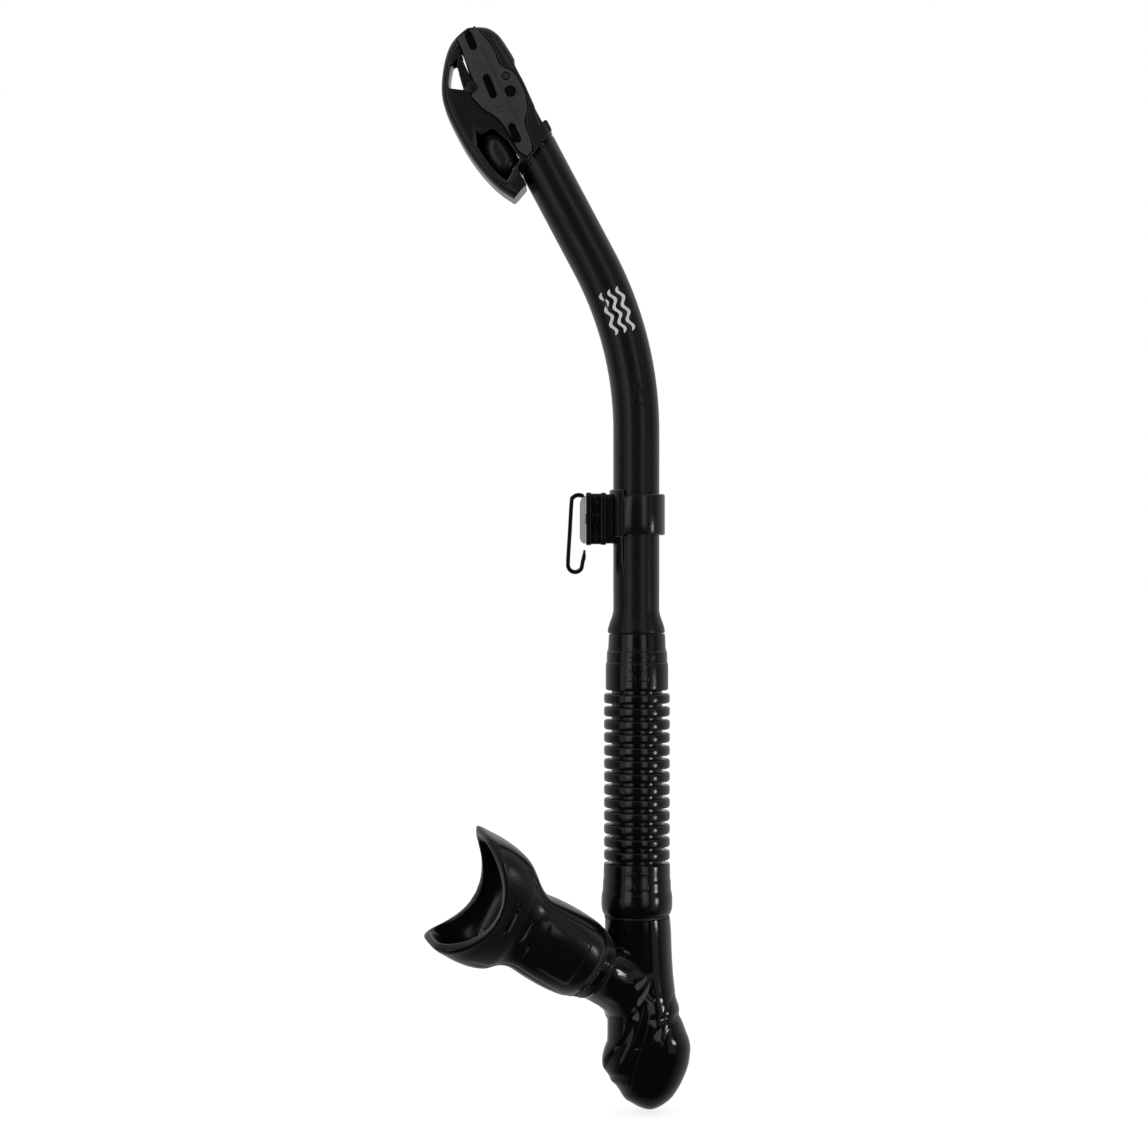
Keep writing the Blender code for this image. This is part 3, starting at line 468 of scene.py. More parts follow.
def steel_material():
    """Drawn pin stock: fine lines round the pin and slightly duller patches."""
    material, nodes, links = node_material("stainless_steel_drawn")
    shader = nodes["Principled BSDF"]
    shader.inputs["Metallic"].default_value = 1.0
    lines = noise(nodes, links, 1500.0, 3.0, 0.6, (1.0, 0.05, 1.0))
    patches = noise(nodes, links, 160.0)
    ramp = nodes.new("ShaderNodeMix")
    ramp.data_type = "RGBA"
    links.new(patches, ramp.inputs["Factor"])
    ramp.inputs["A"].default_value = (0.10, 0.10, 0.11, 1.0)
    ramp.inputs["B"].default_value = (0.20, 0.20, 0.21, 1.0)
    links.new(ramp.outputs["Result"], shader.inputs["Base Color"])
    links.new(ranged(nodes, links, lines, 0.3, 0.7, 0.22, 0.42), shader.inputs["Roughness"])
    bump = nodes.new("ShaderNodeBump")
    bump.inputs["Distance"].default_value = 0.01 * MM
    links.new(lines, bump.inputs["Height"])
    links.new(bump.outputs["Normal"], shader.inputs["Normal"])
    return material


BLACK = (0.0022, 0.0022, 0.0024)
BARREL_PLASTIC = moulded("barrel_plastic", (0.006, 0.006, 0.0065), 0.3, 0.04, grain=0.004,
                         grain_scale=1800.0, wave=0.02, streaks=0.012, shine=0.32)
SHELL_PLASTIC = moulded("head_shell_plastic", (0.008, 0.008, 0.009), 0.36, 0.05, grain=0.006, wear=0.25)
GUARD_PLASTIC = moulded("float_guard_plastic", (0.010, 0.010, 0.011), 0.24, 0.05, wave=0.02, wear=0.2)
PLATE_PLASTIC = moulded("side_plate_plastic", (0.036, 0.036, 0.038), 0.55, 0.06, grain=0.016,
                        grain_scale=3200.0, wear=0.35)
GLOSS = moulded("gloss_black_plastic", BLACK, 0.10, 0.04, wave=0.02, wear=0.08)
SOFT_GLOSS = moulded("hose_silicone", BLACK, 0.17, 0.05, grain=0.003, wave=0.05, tint=0.4)
CUFF_RUBBER = moulded("cuff_silicone", BLACK, 0.16, 0.05, grain=0.003, wave=0.06, tint=0.4)
MOUTH_RUBBER = moulded("mouthpiece_silicone", (0.003, 0.003, 0.0033), 0.24, 0.06, grain=0.004, wave=0.04)
KEEPER_PLASTIC = moulded("keeper_plastic", (0.004, 0.004, 0.0045), 0.2, 0.05, grain=0.003,
                         wave=0.02, wear=0.2)
GREY = moulded("grey_plastic", (0.42, 0.42, 0.43), 0.38, 0.06, grain=0.006, tint=0.06)
STEEL = steel_material()
PRINT = moulded("white_print", (0.78, 0.78, 0.78), 0.45, 0.05, grain=0.004, tint=0.05)

# The slot that each material stands for; the first of a slot also dresses the frame's own nodes
SLOTS = {"gloss_black_plastic": (GLOSS, GUARD_PLASTIC, KEEPER_PLASTIC),
         "satin_black_plastic": (SHELL_PLASTIC, BARREL_PLASTIC, PRINT),
         "matte_charcoal_plastic": (PLATE_PLASTIC,),
         "black_silicone": (SOFT_GLOSS, CUFF_RUBBER, MOUTH_RUBBER),
         "grey_plastic": (GREY,),
         "stainless_steel": (STEEL,)}
SLOT_OF = {material.name: slot for slot, materials in SLOTS.items() for material in materials}


def dress(piece, material, body, *nodes, slot=None):
    """Gives a piece its material and its body, and hides the frame nodes that it stands for; its slot is worked
    out but not kept.
    """
    piece.data.materials.clear()
    piece.data.materials.append(material)
    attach(piece, body)
    slot or SLOT_OF[material.name]
    if nodes:
        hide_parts(*nodes)
    return piece


# ---------------------------------------------------------------- barrel

BARREL_HALF_WIDTH = 9.9
BARREL_HALF_DEPTH = 11.8
BARREL_WALL = 1.5
BARREL_POWER = 2.3
BARREL_X = -0.3
BARREL_FOOT = box_mm("hose_cuff_upper")[1].z + GAP
STRAIGHT = 86.4
BEND_RADIUS = 155.0
HEAD_TILT = math.radians(28.0)
UPPER = 53.6
ARC = BEND_RADIUS * HEAD_TILT
BARREL_LENGTH = STRAIGHT + ARC + UPPER
SEAM_SLOPE = math.tan(math.radians(25.4))
SEAM_HEIGHT = -1.9
FLARE_TOP = 10.3
FLARE_RADIUS = 12.3
SPIGOT_RADIUS = 10.4
SPIGOT_LENGTH = 16.0
HOSE_BORE = 9.1


def barrel_axes(distance):
    """Centre, side and lengthwise directions of the barrel at a distance from its foot."""
    lean = min(max(distance - STRAIGHT, 0.0), ARC) / BEND_RADIUS
    beyond = max(distance - STRAIGHT - ARC, 0.0)
    x = BARREL_X - BEND_RADIUS * (1 - math.cos(lean)) - beyond * math.sin(lean)
    z = BARREL_FOOT + min(distance, STRAIGHT) + BEND_RADIUS * math.sin(lean) + beyond * math.cos(lean)
    side = np.array((math.cos(lean), 0, math.sin(lean)))
    along = np.array((-math.sin(lean), 0, math.cos(lean)))
    return np.array((x, 0, z)), side, along


def barrel_size(distance):
    """Half width, half depth and squareness, flaring smoothly down to the round foot."""
    flare = 1 - float(smoothstep(0.4, FLARE_TOP, distance))
    width = BARREL_HALF_WIDTH + (FLARE_RADIUS - BARREL_HALF_WIDTH) * flare
    depth = BARREL_HALF_DEPTH + (FLARE_RADIUS - BARREL_HALF_DEPTH) * flare
    return width, depth, BARREL_POWER + (2.0 - BARREL_POWER) * flare


def barrel_ring(distance, inset=0.0, around=144, slope=0.0, size=None):
    width, depth, power = size or barrel_size(distance)
    centre, side, along = barrel_axes(distance)
    x, y = oval(width - inset, depth - inset, around, power)
    return centre + np.outer(x, side) + np.outer(y, (0, 1, 0)) + np.outer(slope * x, along)


def on_barrel(x, distance, height, front=-1):
    """A point on the barrel's front, x across it, raised by height along the surface's normal."""
    width, depth, power = barrel_size(distance)
    centre, side, along = barrel_axes(distance)
    share = min(abs(x / width), 0.999)
    y = front * depth * (1 - share ** power) ** (1 / power)
    normal_x = math.copysign(share ** (power - 1) / width, x)
    normal_y = front * (abs(y) / depth) ** (power - 1) / depth
    size = math.hypot(normal_x, normal_y)
    return centre + side * (x + height * normal_x / size) + np.array((0, y + height * normal_y / size, 0))


def make_barrel():
    stations = list(np.linspace(0.0, 12.0, 25)) + list(np.arange(14.0, BARREL_LENGTH - 4.0, 1.5))
    top = BARREL_LENGTH + SEAM_HEIGHT - 0.6
    straight = [s for s in stations if s < top - 6.5]
    outer = [barrel_ring(0.0, 0.35), barrel_ring(0.12, 0.1)]
    outer += [barrel_ring(s) for s in straight[1:]]
    inner_size = (BARREL_HALF_WIDTH, BARREL_HALF_DEPTH, BARREL_POWER)
    outer += [barrel_ring(top - 0.25, slope=SEAM_SLOPE, size=inner_size),
              barrel_ring(top, 0.25, slope=SEAM_SLOPE, size=inner_size),
              barrel_ring(top, BARREL_WALL, slope=SEAM_SLOPE, size=inner_size)]
    inner = [barrel_ring(s, BARREL_WALL, size=inner_size) for s in straight[::-8] if s > 14]
    foot_bore = (HOSE_BORE, HOSE_BORE, 2.0)
    spigot = (SPIGOT_RADIUS, SPIGOT_RADIUS, 2.0)
    foot = [barrel_ring(2.0, size=foot_bore), barrel_ring(-SPIGOT_LENGTH, size=foot_bore),
            barrel_ring(-SPIGOT_LENGTH, size=spigot), barrel_ring(0.0, size=spigot)]
    barrel = skin("barrel_skin", outer + inner + foot, tube=True)
    dress(barrel, BARREL_PLASTIC, "barrel", "barrel_tube")


def barrel_path(points, height, steps=10):
    return [on_barrel(x, s, height) for x, s in spline(points, steps)]


def make_barrel_details():
    """Moulded lines, the arrow that marks the keeper's highest place, and the pad on the flare."""
    arrow_foot = 98.0
    half = 2.75
    middle = 1.2
    tip = arrow_foot + 9.0
    shoulder = tip - 1.0
    strokes = {"left": ([(middle - half, arrow_foot), (middle - 1.6, arrow_foot + 4.4),
                         (middle - 0.9, shoulder)], 0.3),
               "right": ([(middle + half, arrow_foot), (middle + 1.7, arrow_foot + 4.4),
                          (middle + 0.5, shoulder)], 0.42),
               "cap": ([(middle - 1.7, tip - 1.8), (middle, tip), (middle + 1.3, tip - 1.5)], 0.36),
               "foot": ([(middle - half, arrow_foot), (middle, arrow_foot - 0.35),
                         (middle + half, arrow_foot)], 0.34)}
    for key, (path, radius) in strokes.items():
        piece = bead("barrel_arrow_" + key, barrel_path(path, 0.02, 6), radius, 0.7)
        dress(piece, BARREL_PLASTIC, "barrel")
    ridge = barrel_path([(-1.9, 170.0), (-2.2, 160.0), (-2.9, 150.0), (-3.3, 141.0)], -0.14, 14)
    dress(bead("barrel_ridge", ridge, 0.4, 0.8), BARREL_PLASTIC, "barrel")
    hook = barrel_path([(-5.0, 186.0), (-3.6, 184.6), (-3.0, 181.5), (-2.5, 176.0)], -0.14, 10)
    dress(bead("barrel_ridge_top", hook, 0.4, 0.8), BARREL_PLASTIC, "barrel")
    arch = [(-2.1, 0.9), (2.1, 0.9), (2.2, 3.4, 1), (1.5, 5.2), (0.0, 5.9), (-1.5, 5.2), (-2.2, 3.4)]
    outline = spline([point[:2] for point in arch], 5, closed=True)
    place = lambda x, s, h: on_barrel(x + 0.4, s, h)
    dress(pad("barrel_foot_pad", outline, place, 0.55), BARREL_PLASTIC, "barrel")
    # A raised strip on each side of the hook, below the keeper's resting place, in the darkest gloss black:
    # painted shade standing in for a shaded groove there
    for side, front in (("near", -1), ("far", 1)):
        rail = [on_barrel(-5.6, s, 0.05, front) for s in np.linspace(24.5, 59.0, 24)]
        sizes = smoothstep(24.0, 34.0, np.linspace(24.5, 59.0, 24)) * 0.9 + 0.25
        piece = tapered("barrel_shade_strip_" + side, rail, sizes, front)
        dress(piece, GLOSS, "barrel", slot="satin_black_plastic")


def tapered(name, path, sizes, front):
    """A strip whose width changes along it, standing a little above the surface."""
    turn = turns(12)
    rings = [point + np.outer(np.cos(turn), (size, 0, 0)) + np.outer(np.sin(turn), (0, 0.35 * front, 0))
             for point, size in zip(path, sizes)]
    return skin(name, rings, angle=80)


def make_barrel_print():
    """A generic printed mark, three waves that run down the tube."""
    length, first = 19.5, 128.5
    steps = 40
    for k, offset in enumerate((-3.4, 0.3, 4.0)):
        rows = []
        for i in range(steps + 1):
            t = i / steps
            s = first + length * t
            x = offset + 0.85 * math.sin(t * 3 * 2 * math.pi)
            half = 0.72 * math.sqrt(max(0.02, 1 - abs(2 * t - 1) ** 12))
            corners = ((-half, -0.05), (half, -0.05), (half, 0.05), (-half, 0.05))
            rows.append([on_barrel(x + dx, s, h) for dx, h in corners])
        piece = skin(f"barrel_print_wave_{k + 1}", rows, angle=30)
        dress(piece, PRINT, "barrel")


# ---------------------------------------------------------------- dry-top head

HEAD_HALF = 12.6
CAVITY_HALF = 10.2
CORE_HALF = 10.4
PLATE_INNER = 10.7
PLATE_OUTER = 13.0
FLOAT_PIVOT = (-11.4, 35.1)
FLAP_PIVOT = (3.3, 32.6)
PLATE_PIN = (1.9, 26.1)
HEAD_ROUND = 4.3

HEAD_TURN = Matrix.Rotation(-HEAD_TILT, 3, "Y") @ Matrix.Rotation(math.pi / 2, 3, "X")
HEAD_ORIGIN = joint_mm("float_pivot") - HEAD_TURN @ Vector((*FLOAT_PIVOT, 0))
HEAD = Matrix.Translation(HEAD_ORIGIN) @ HEAD_TURN.to_4x4()

HEAD_BACK = [(10.0, 3.6), (10.1, 8.2), (9.0, 8.7), (6.6, 7.4), (6.2, 8.6), (8.1, 15.6), (8.9, 26.7),
             (8.9, 36.3), (10.0, 37.3), (9.9, 44.0, 1), (6.9, 53.8, 1), (1.9, 57.8)]
PLATE_BACK = [(1.7, 57.6), (4.0, 45.8, 1), (3.7, 37.4, 1), (6.4, 33.6, 1), (7.4, 26.5, 1),
              (5.4, 17.0, 1), (1.3, 11.7, 1), (-0.3, 2.9, 1), (-1.5, -0.5)]
PLATE_FRONT = [(-4.7, -1.5), (-6.8, 2.3), (-7.0, 9.9, 1), (-7.8, 17.4, 1), (-11.8, 25.1),
               (-13.6, 31.9), (-9.8, 35.3), (-8.7, 46.3), (-7.7, 52.0), (-7.7, 56.4)]
GUARD_FRONT = [(1.4, 57.7), (-2.0, 58.9, 1), (-11.1, 55.9, 1), (-19.4, 47.3, 1), (-25.1, 36.6, 1),
               (-26.5, 23.0, 1), (-25.6, 6.8, 1), (-21.8, -7.8, 1), (-18.1, -14.8)]
WINDOW_UPPER = [(-7.0, 53.6), (-10.3, 52.6, 1), (-15.6, 47.6, 1), (-20.7, 39.6), (-14.9, 35.6),
                (-8.7, 37.9), (-7.9, 46.0)]
WINDOW_LOWER = [(-18.6, 20.5), (-17.1, 16.3), (-11.9, 15.9), (-8.8, 8.8), (-7.7, -0.6),
                (-9.6, -3.0), (-17.6, -7.7), (-20.8, -0.6, 1), (-22.8, 12.0)]


# What is open right through inside those windows: the rest is a wall set back behind them
OPEN_UPPER = [(-11.2, 48.6), (-13.4, 49.4, 1), (-15.6, 47.4, 1), (-20.5, 39.8), (-15.1, 36.0),
              (-13.0, 46.5)]
OPEN_CRESCENT = [(-8.3, 51.4), (-8.9, 50.8, 1), (-9.7, 45.5, 1), (-9.9, 39.6), (-8.9, 38.2)]
OPEN_LOWER = [(-18.2, 19.6), (-16.9, 16.4), (-11.9, 16.0), (-8.9, 8.8), (-7.9, -0.6),
              (-9.8, -2.2), (-17.2, -6.4), (-19.4, -0.6, 1), (-21.4, 12.0)]


def shifted(outline, across, up=0.0):
    return [(point[0] + across, point[1] + up, *point[2:]) for point in outline]


def seam_ring(height, half_width, half_depth, slope=SEAM_SLOPE, around=96):
    x, y = oval(half_width, half_depth, around, BARREL_POWER)
    return np.stack([x, height + slope * x, y], 1)


def head_prism(name, outline, low, high, edge=0.0, steps=8):
    return extruded(name, [outline], low, high, edge, HEAD, steps, edge_steps=5)


def make_pod(name):
    """The head's outer body, rounded all round its rim and longer than the head at its foot."""
    right = [(12.6, -25.0), (12.6, 8.0), (11.8, 20.0, 1), (11.8, 34.0, 1), (10.6, 45.0, 1), (7.2, 53.9, 1)]
    outline = right + [(1.4, 57.9, 1)] + GUARD_FRONT[1:-1] + [(-12.7, -25.0)]
    return pebble(name, outline, -HEAD_HALF, HEAD_HALF, HEAD_ROUND, HEAD, 240, 10)


def make_head_shell():
    back = HEAD_BACK + shifted(PLATE_BACK, GAP)[:-1] + [(-1.2, SEAM_HEIGHT - 0.57 + 0.9)]
    shell = head_prism("head_back_shell", back, -HEAD_HALF, HEAD_HALF)
    combine(shell, [make_pod("pod_back")], "INTERSECT")
    duct = [(-3.0, SEAM_HEIGHT + 0.9 - 3.0 * SEAM_SLOPE), (8.0, SEAM_HEIGHT + 0.9 + 8.0 * SEAM_SLOPE),
            (8.0, 15.8), (8.4, 30.7), (-3.0, 30.7)]
    collar = skin("collar", [seam_ring(SEAM_HEIGHT + rise, BARREL_HALF_WIDTH, BARREL_HALF_DEPTH)
                             for rise in (0.6, 2.6)], matrix=HEAD)
    side = BARREL_HALF_WIDTH - BARREL_WALL - GAP
    depth = BARREL_HALF_DEPTH - BARREL_WALL - GAP
    plug = skin("plug", [seam_ring(-14.0, side, depth, 0.0), seam_ring(0.0, side, depth)], matrix=HEAD)
    combine(shell, [head_prism("duct_walls", duct, -CORE_HALF, CORE_HALF), collar, plug], "UNION")
    plug_bore = skin("plug_bore", [seam_ring(-15.0, side - 1.4, depth - 1.4, 0.0),
                                   seam_ring(-0.8, side - 1.4, depth - 1.4)], matrix=HEAD)
    bore = [(-1.5, -4.0), (5.0, -4.0), (5.0, 9.0), (6.6, 15.8), (6.9, 29.2), (-1.5, 29.2)]
    mouth = [(-4.0, 16.5), (0.0, 16.5), (0.0, 28.4), (-4.0, 28.4)]
    roof = [(2.0, 54.5), (7.3, 48.0), (8.0, 39.0), (6.6, 36.2), (3.0, 38.0)]
    combine(shell, [plug_bore, head_prism("duct_bore", bore, -8.9, 8.9),
                    head_prism("duct_mouth", mouth, -7.2, 7.2),
                    head_prism("shell_hollow", roof, -CAVITY_HALF, CAVITY_HALF)])
    soften(shell, 0.34, 3)
    dress(shell, SHELL_PLASTIC, "barrel", "head_shell")


def make_guard():
    under = [(-10.5, -11.8), (-10.5, -3.5), (-5.2, -2.4), (-5.2, -1.0)]
    behind = shifted(PLATE_FRONT[1:], -GAP)
    bridge = [(-7.0, 56.0), (1.4, 54.6)]
    outline = GUARD_FRONT + under + behind[:-1] + bridge
    guard = head_prism("float_guard_shell", outline, -HEAD_HALF, HEAD_HALF)
    combine(guard, [make_pod("pod_front")], "INTERSECT")
    cavity = [(3.0, 54.6), (-3.0, 55.4, 1), (-10.0, 52.8, 1), (-17.4, 44.6, 1), (-21.9, 35.6, 1),
              (-23.2, 23.0, 1), (-22.4, 7.5, 1), (-20.6, -0.6, 1), (-18.6, -8.8), (-9.8, -5.0), (3.0, 1.0)]
    ledge = [(-20.4, 40.6), (-22.2, 36.6, 1), (-23.3, 30.0, 1), (-23.6, 22.0, 1), (-23.2, 12.4, 1),
             (-21.4, -1.0, 1), (-18.6, -9.4), (-4.0, -3.0), (-4.0, 41.0)]
    margin = [(-8.0, 60.0), (4.0, 60.0), (4.0, 50.0), (-8.0, 50.0)]
    clear = skin("barrel_clearance", [seam_ring(-30.0, 10.2, 12.1, 0.0),
                                      seam_ring(SEAM_HEIGHT + 2.4, 10.2, 12.1)], matrix=HEAD)
    through = 20
    pivot = extruded("pivot_hole", [circle(FLOAT_PIVOT, 1.8)], -through, through, matrix=HEAD, steps=1)
    wall = 11.5
    cuts = {"cavity": (cavity, -CAVITY_HALF, CAVITY_HALF), "upper": (OPEN_UPPER, -through, through),
            "crescent": (OPEN_CRESCENT, -through, through), "upper_near": (WINDOW_UPPER, 11.1, through),
            "upper_far": (WINDOW_UPPER, -through, -11.1), "lower_near": (WINDOW_LOWER, 11.2, through),
            "lower_open": (OPEN_LOWER, 0, through), "lower_far": (WINDOW_LOWER, -through, -11.2),
            "ledge_near": (ledge, wall, through), "ledge_far": (ledge, -through, -wall),
            "margin_near": (margin, CORE_HALF, through), "margin_far": (margin, -through, -CORE_HALF)}
    combine(guard, [head_prism(key, *cut) for key, cut in cuts.items()] + [clear, pivot])
    soften(guard, 0.3, 3)
    for side, sign in (("near", 1), ("far", -1)):
        for key, line in (("top", WINDOW_LOWER[:4]), ("bottom", WINDOW_LOWER[5:] + [(-20.6, 17.0)])):
            flow = spline([spot[:2] for spot in line], 8)
            path = [HEAD @ Vector((x, y, sign * (wall - 0.1))) for x, y in flow]
            rim = bead(f"window_rim_{key}_{side}", path, 0.38, 1.0)
            dress(rim, GUARD_PLASTIC, "barrel")
    dress(guard, GUARD_PLASTIC, "barrel", "float_guard")


def circle(centre, radius, count=40):
    return [(centre[0] + radius * math.cos(2 * math.pi * i / count),
             centre[1] + radius * math.sin(2 * math.pi * i / count)) for i in range(count)]


def slot_loop(upper, lower, radius=1.6):
    """A long hole with round ends, in step with the frame's."""
    across = Vector(upper) - Vector(lower)
    side = Vector((-across.y, across.x)).normalized() * radius
    loop = []
    for centre, start in ((Vector(upper), 0), (Vector(lower), math.pi)):
        for i in range(13):
            angle = start + math.pi * i / 12
            turn = Matrix.Rotation(angle, 2)
            loop.append(tuple(centre + turn @ -side))
    return loop


def rounded_inset(outline):
    """The plate's outline drawn in a little, for what lies behind it."""
    across, up = -2.0, 28.0
    return [(across + (x - across) * 0.93, up + (y - up) * 0.975, *rest) for x, y, *rest in outline]


def make_side_plates():
    outline = PLATE_BACK + PLATE_FRONT
    slots = [slot_loop((-2.5, 55.2), (-3.0, 50.2)), slot_loop((-4.3, 35.8), (-5.1, 28.2)),
             slot_loop((-4.6, 12.4), (-4.9, 6.8))]
    holes = [circle(FLAP_PIVOT, 1.7), circle(PLATE_PIN, 2.3)]
    grip = ((-0.6, -1.2), (0.6, -1.2), (0.6, 1.2), (-0.6, 1.2))
    rib = spline([(0.0, 48.6), (-0.4, 36.0), (-0.9, 24.0), (-1.1, 14.3)], 8)
    for side, sign in (("near", 1), ("far", -1)):
        low, high = sorted((sign * PLATE_INNER, sign * PLATE_OUTER))
        plate = extruded(f"side_plate_{side}_panel", [outline] + slots + holes, low, high, 0.38, HEAD)
        dress(plate, PLATE_PLASTIC, "barrel", "side_plate_" + side)
        face = lambda x, y, h: HEAD @ Vector((x, y, sign * (PLATE_OUTER - 0.02 + h)))
        marks = [(-5.6, 43.7), (-3.9, 42.4), (-3.1, 40.7), (-5.7, 22.9), (-5.2, 20.6), (-4.7, 17.9)]
        for k, (x, y) in enumerate(marks):
            tilt = Matrix.Rotation(math.radians(-6 if k < 3 else 62), 2)
            corners = [Vector((x, y)) + tilt @ Vector(corner) for corner in grip]
            mark = pad(f"grip_mark_{side}_{k + 1}", rounded(corners, 0.45, 4), face, 0.3, 0.25, 0.3)
            dress(mark, PLATE_PLASTIC, "barrel")
        for k, shift in enumerate((-0.35, 0.35)):
            path = [face(x + shift, y, 0.04) for x, y in rib]
            line = bead(f"plate_rib_{side}_{k + 1}", path, 0.24, 1.0)
            dress(line, PLATE_PLASTIC, "barrel")
        # Behind each plate a sheet in the darkest gloss black shows through its slots and holes: painted shade for
        # the depth of the slots.
        backing = sorted((sign * (CORE_HALF + 0.02), sign * (PLATE_INNER - 0.02)))
        floor = extruded("slot_shade_sheet_" + side, [rounded_inset(outline)] + holes, *backing, matrix=HEAD)
        dress(floor, GLOSS, "barrel", slot="matte_charcoal_plastic")
        edge = [(2.35, -0.3), (2.75, 0.28), (3.05, 0.3), (3.15, -0.3)]
        place = HEAD @ Matrix.Translation((*PLATE_PIN, sign * PLATE_OUTER))
        rim = turned("plate_pin_rim_" + side, edge, 48,
                     place @ Matrix.Rotation(0 if sign > 0 else math.pi, 4, "X"))
        dress(rim, PLATE_PLASTIC, "barrel")
        boss = extruded("pivot_boss_" + side, [circle(FLOAT_PIVOT, 2.7)],
                        *sorted((sign * PLATE_INNER, sign * (PLATE_OUTER + 0.05))), 0.45, HEAD, 1)
        dress(boss, GUARD_PLASTIC, "barrel", slot="matte_charcoal_plastic")


def make_float():
    block = [(-17.0, 13.9, 1), (-13.3, 14.8, 1), (-10.2, 12.6, 1), (-8.9, 7.0, 1), (-9.0, 1.0, 1),
             (-11.0, -2.0, 1), (-15.2, -3.4, 1), (-18.2, -2.2, 1), (-20.0, 1.4, 1), (-20.2, 8.4, 1)]
    piece = pebble("float_dome", block, -9.4, 9.4, 4.9, HEAD, 160, 12)
    dress(piece, SHELL_PLASTIC, "float", "float")


# ---------------------------------------------------------------- strap keeper

KEEPER_LOW = 163.0
KEEPER_HIGH = 183.2
BAND_WALL = 2.1
HOOK_X = joint_mm("strap_hook_swivel").x
KEEPER_Z = joint_mm("strap_hook_swivel").z


def make_keeper_band():
    """A split band; its front panel is thicker, with rounded corners, than the part near the boss."""
    inner_x = BARREL_HALF_WIDTH + GAP
    inner_y = BARREL_HALF_DEPTH + GAP
    start, end = math.radians(52), math.radians(52 + 338)
    rings = []
    for angle in np.linspace(start, end, 260):
        c, s = math.cos(angle), math.sin(angle)
        power = 2 / BARREL_POWER
        x = math.copysign(abs(c) ** power, c)
        y = math.copysign(abs(s) ** power, s)
        thick = BAND_WALL - 0.75
        front = x * inner_x
        raised = 1.0 if y > 0 else float(smoothstep(-5.2, -4.4, front))
        raised = raised if front > -5.2 else 0.0
        thick += 0.75 * raised
        corner = max(0.0, 1 - (front + 4.8) / 5.0) if y < 0 and front > -4.8 else 0.0
        high = KEEPER_HIGH - 1.9 * raised - 1.5 * corner ** 2.2 * raised
        low = KEEPER_LOW + 1.2 * raised - 0.5 * float(smoothstep(6, 10, front))
        soft = min(0.55, thick * 0.4)
        section = [(0, low + 0.2), (0, high - 0.2), (0.2, high), (thick - soft, high),
                   (thick - 0.16, high - soft * 0.5),
                   (thick, high - soft * 1.3), (thick, (low + high) / 2), (thick, low + soft * 1.3),
                   (thick - 0.16, low + soft * 0.5), (thick - soft, low), (0.2, low)]
        nx, ny = x / inner_x, y / inner_y
        size = math.hypot(nx, ny)
        nx, ny = nx / size, ny / size
        rings.append([(BARREL_X + x * inner_x + nx * out, y * inner_y + ny * out, z) for out, z in section])
    band = skin("keeper_band_shell", rings, angle=50)
    dress(band, KEEPER_PLASTIC, "keeper", "keeper_band")


def keeper_slab(name, left, right, half_height, half_depth, edge=0.4, centre=KEEPER_Z, corner=1.6):
    """A plate across the boss, between two places along X, with round corners."""
    outline = rounded([(-half_depth, -half_height), (half_depth, -half_height), (half_depth, half_height),
                       (-half_depth, half_height)], corner)
    turn = Matrix.Translation((0, 0, centre)) @ Matrix.Rotation(math.pi / 2, 4, "Z") @ QUARTER_X
    return pebble(name, outline, left, right, edge, turn, 96, 4)


def make_keeper_boss():
    """The clip between the band and the hook: plates, a grooved hub and two cross knobs."""
    slabs = {"outer": (-21.9, -19.7, 11.3, 7.0), "column": (-15.6, -13.4, 11.2, 7.0),
             "neck": (-13.9, -9.6, 10.6, 5.6),
             "spine": (-19.9, -15.4, 10.9, 3.4)}
    for key, (left, right, half_height, half_depth) in slabs.items():
        piece = keeper_slab("keeper_boss_" + key, left, right, half_height, half_depth)
        dress(piece, KEEPER_PLASTIC, "keeper")
    hub = [(3.0, -19.9), (4.6, -19.4), (4.6, -18.6), (3.7, -18.2), (3.7, -17.9), (4.9, -17.5), (4.9, -16.6),
           (4.0, -16.2), (4.0, -15.3), (2.9, -15.3)]
    turn = Matrix.Translation((0, 0, KEEPER_Z)) @ Matrix.Rotation(math.pi / 2, 4, "Y")
    piece = turned("keeper_boss_hub", hub, 64, turn)
    dress(piece, KEEPER_PLASTIC, "keeper")
    for key, height in (("upper", 7.6), ("lower", -7.6)):
        for k, (radius, half) in enumerate(((1.9, 6.4), (2.5, 4.6))):
            profile = [(radius - 0.4, half), (radius, half - 0.4), (radius, -half + 0.4),
                       (radius - 0.4, -half)]
            knob_turn = Matrix.Translation((-17.7, 0, KEEPER_Z + height)) @ QUARTER_X
            knob = turned(f"keeper_knob_{key}_{k + 1}", profile, 48, knob_turn, tube=False)
            dress(knob, KEEPER_PLASTIC, "keeper")
    tab = [(-13.9, 160.6), (-13.4, 163.2), (-9.6, 164.2), (-9.6, 162.4), (-12.4, 160.4)]
    foot = extruded("keeper_foot_tab", [tab], -4.0, 4.0, 0.3, QUARTER_X, 1)
    dress(foot, KEEPER_PLASTIC, "keeper")


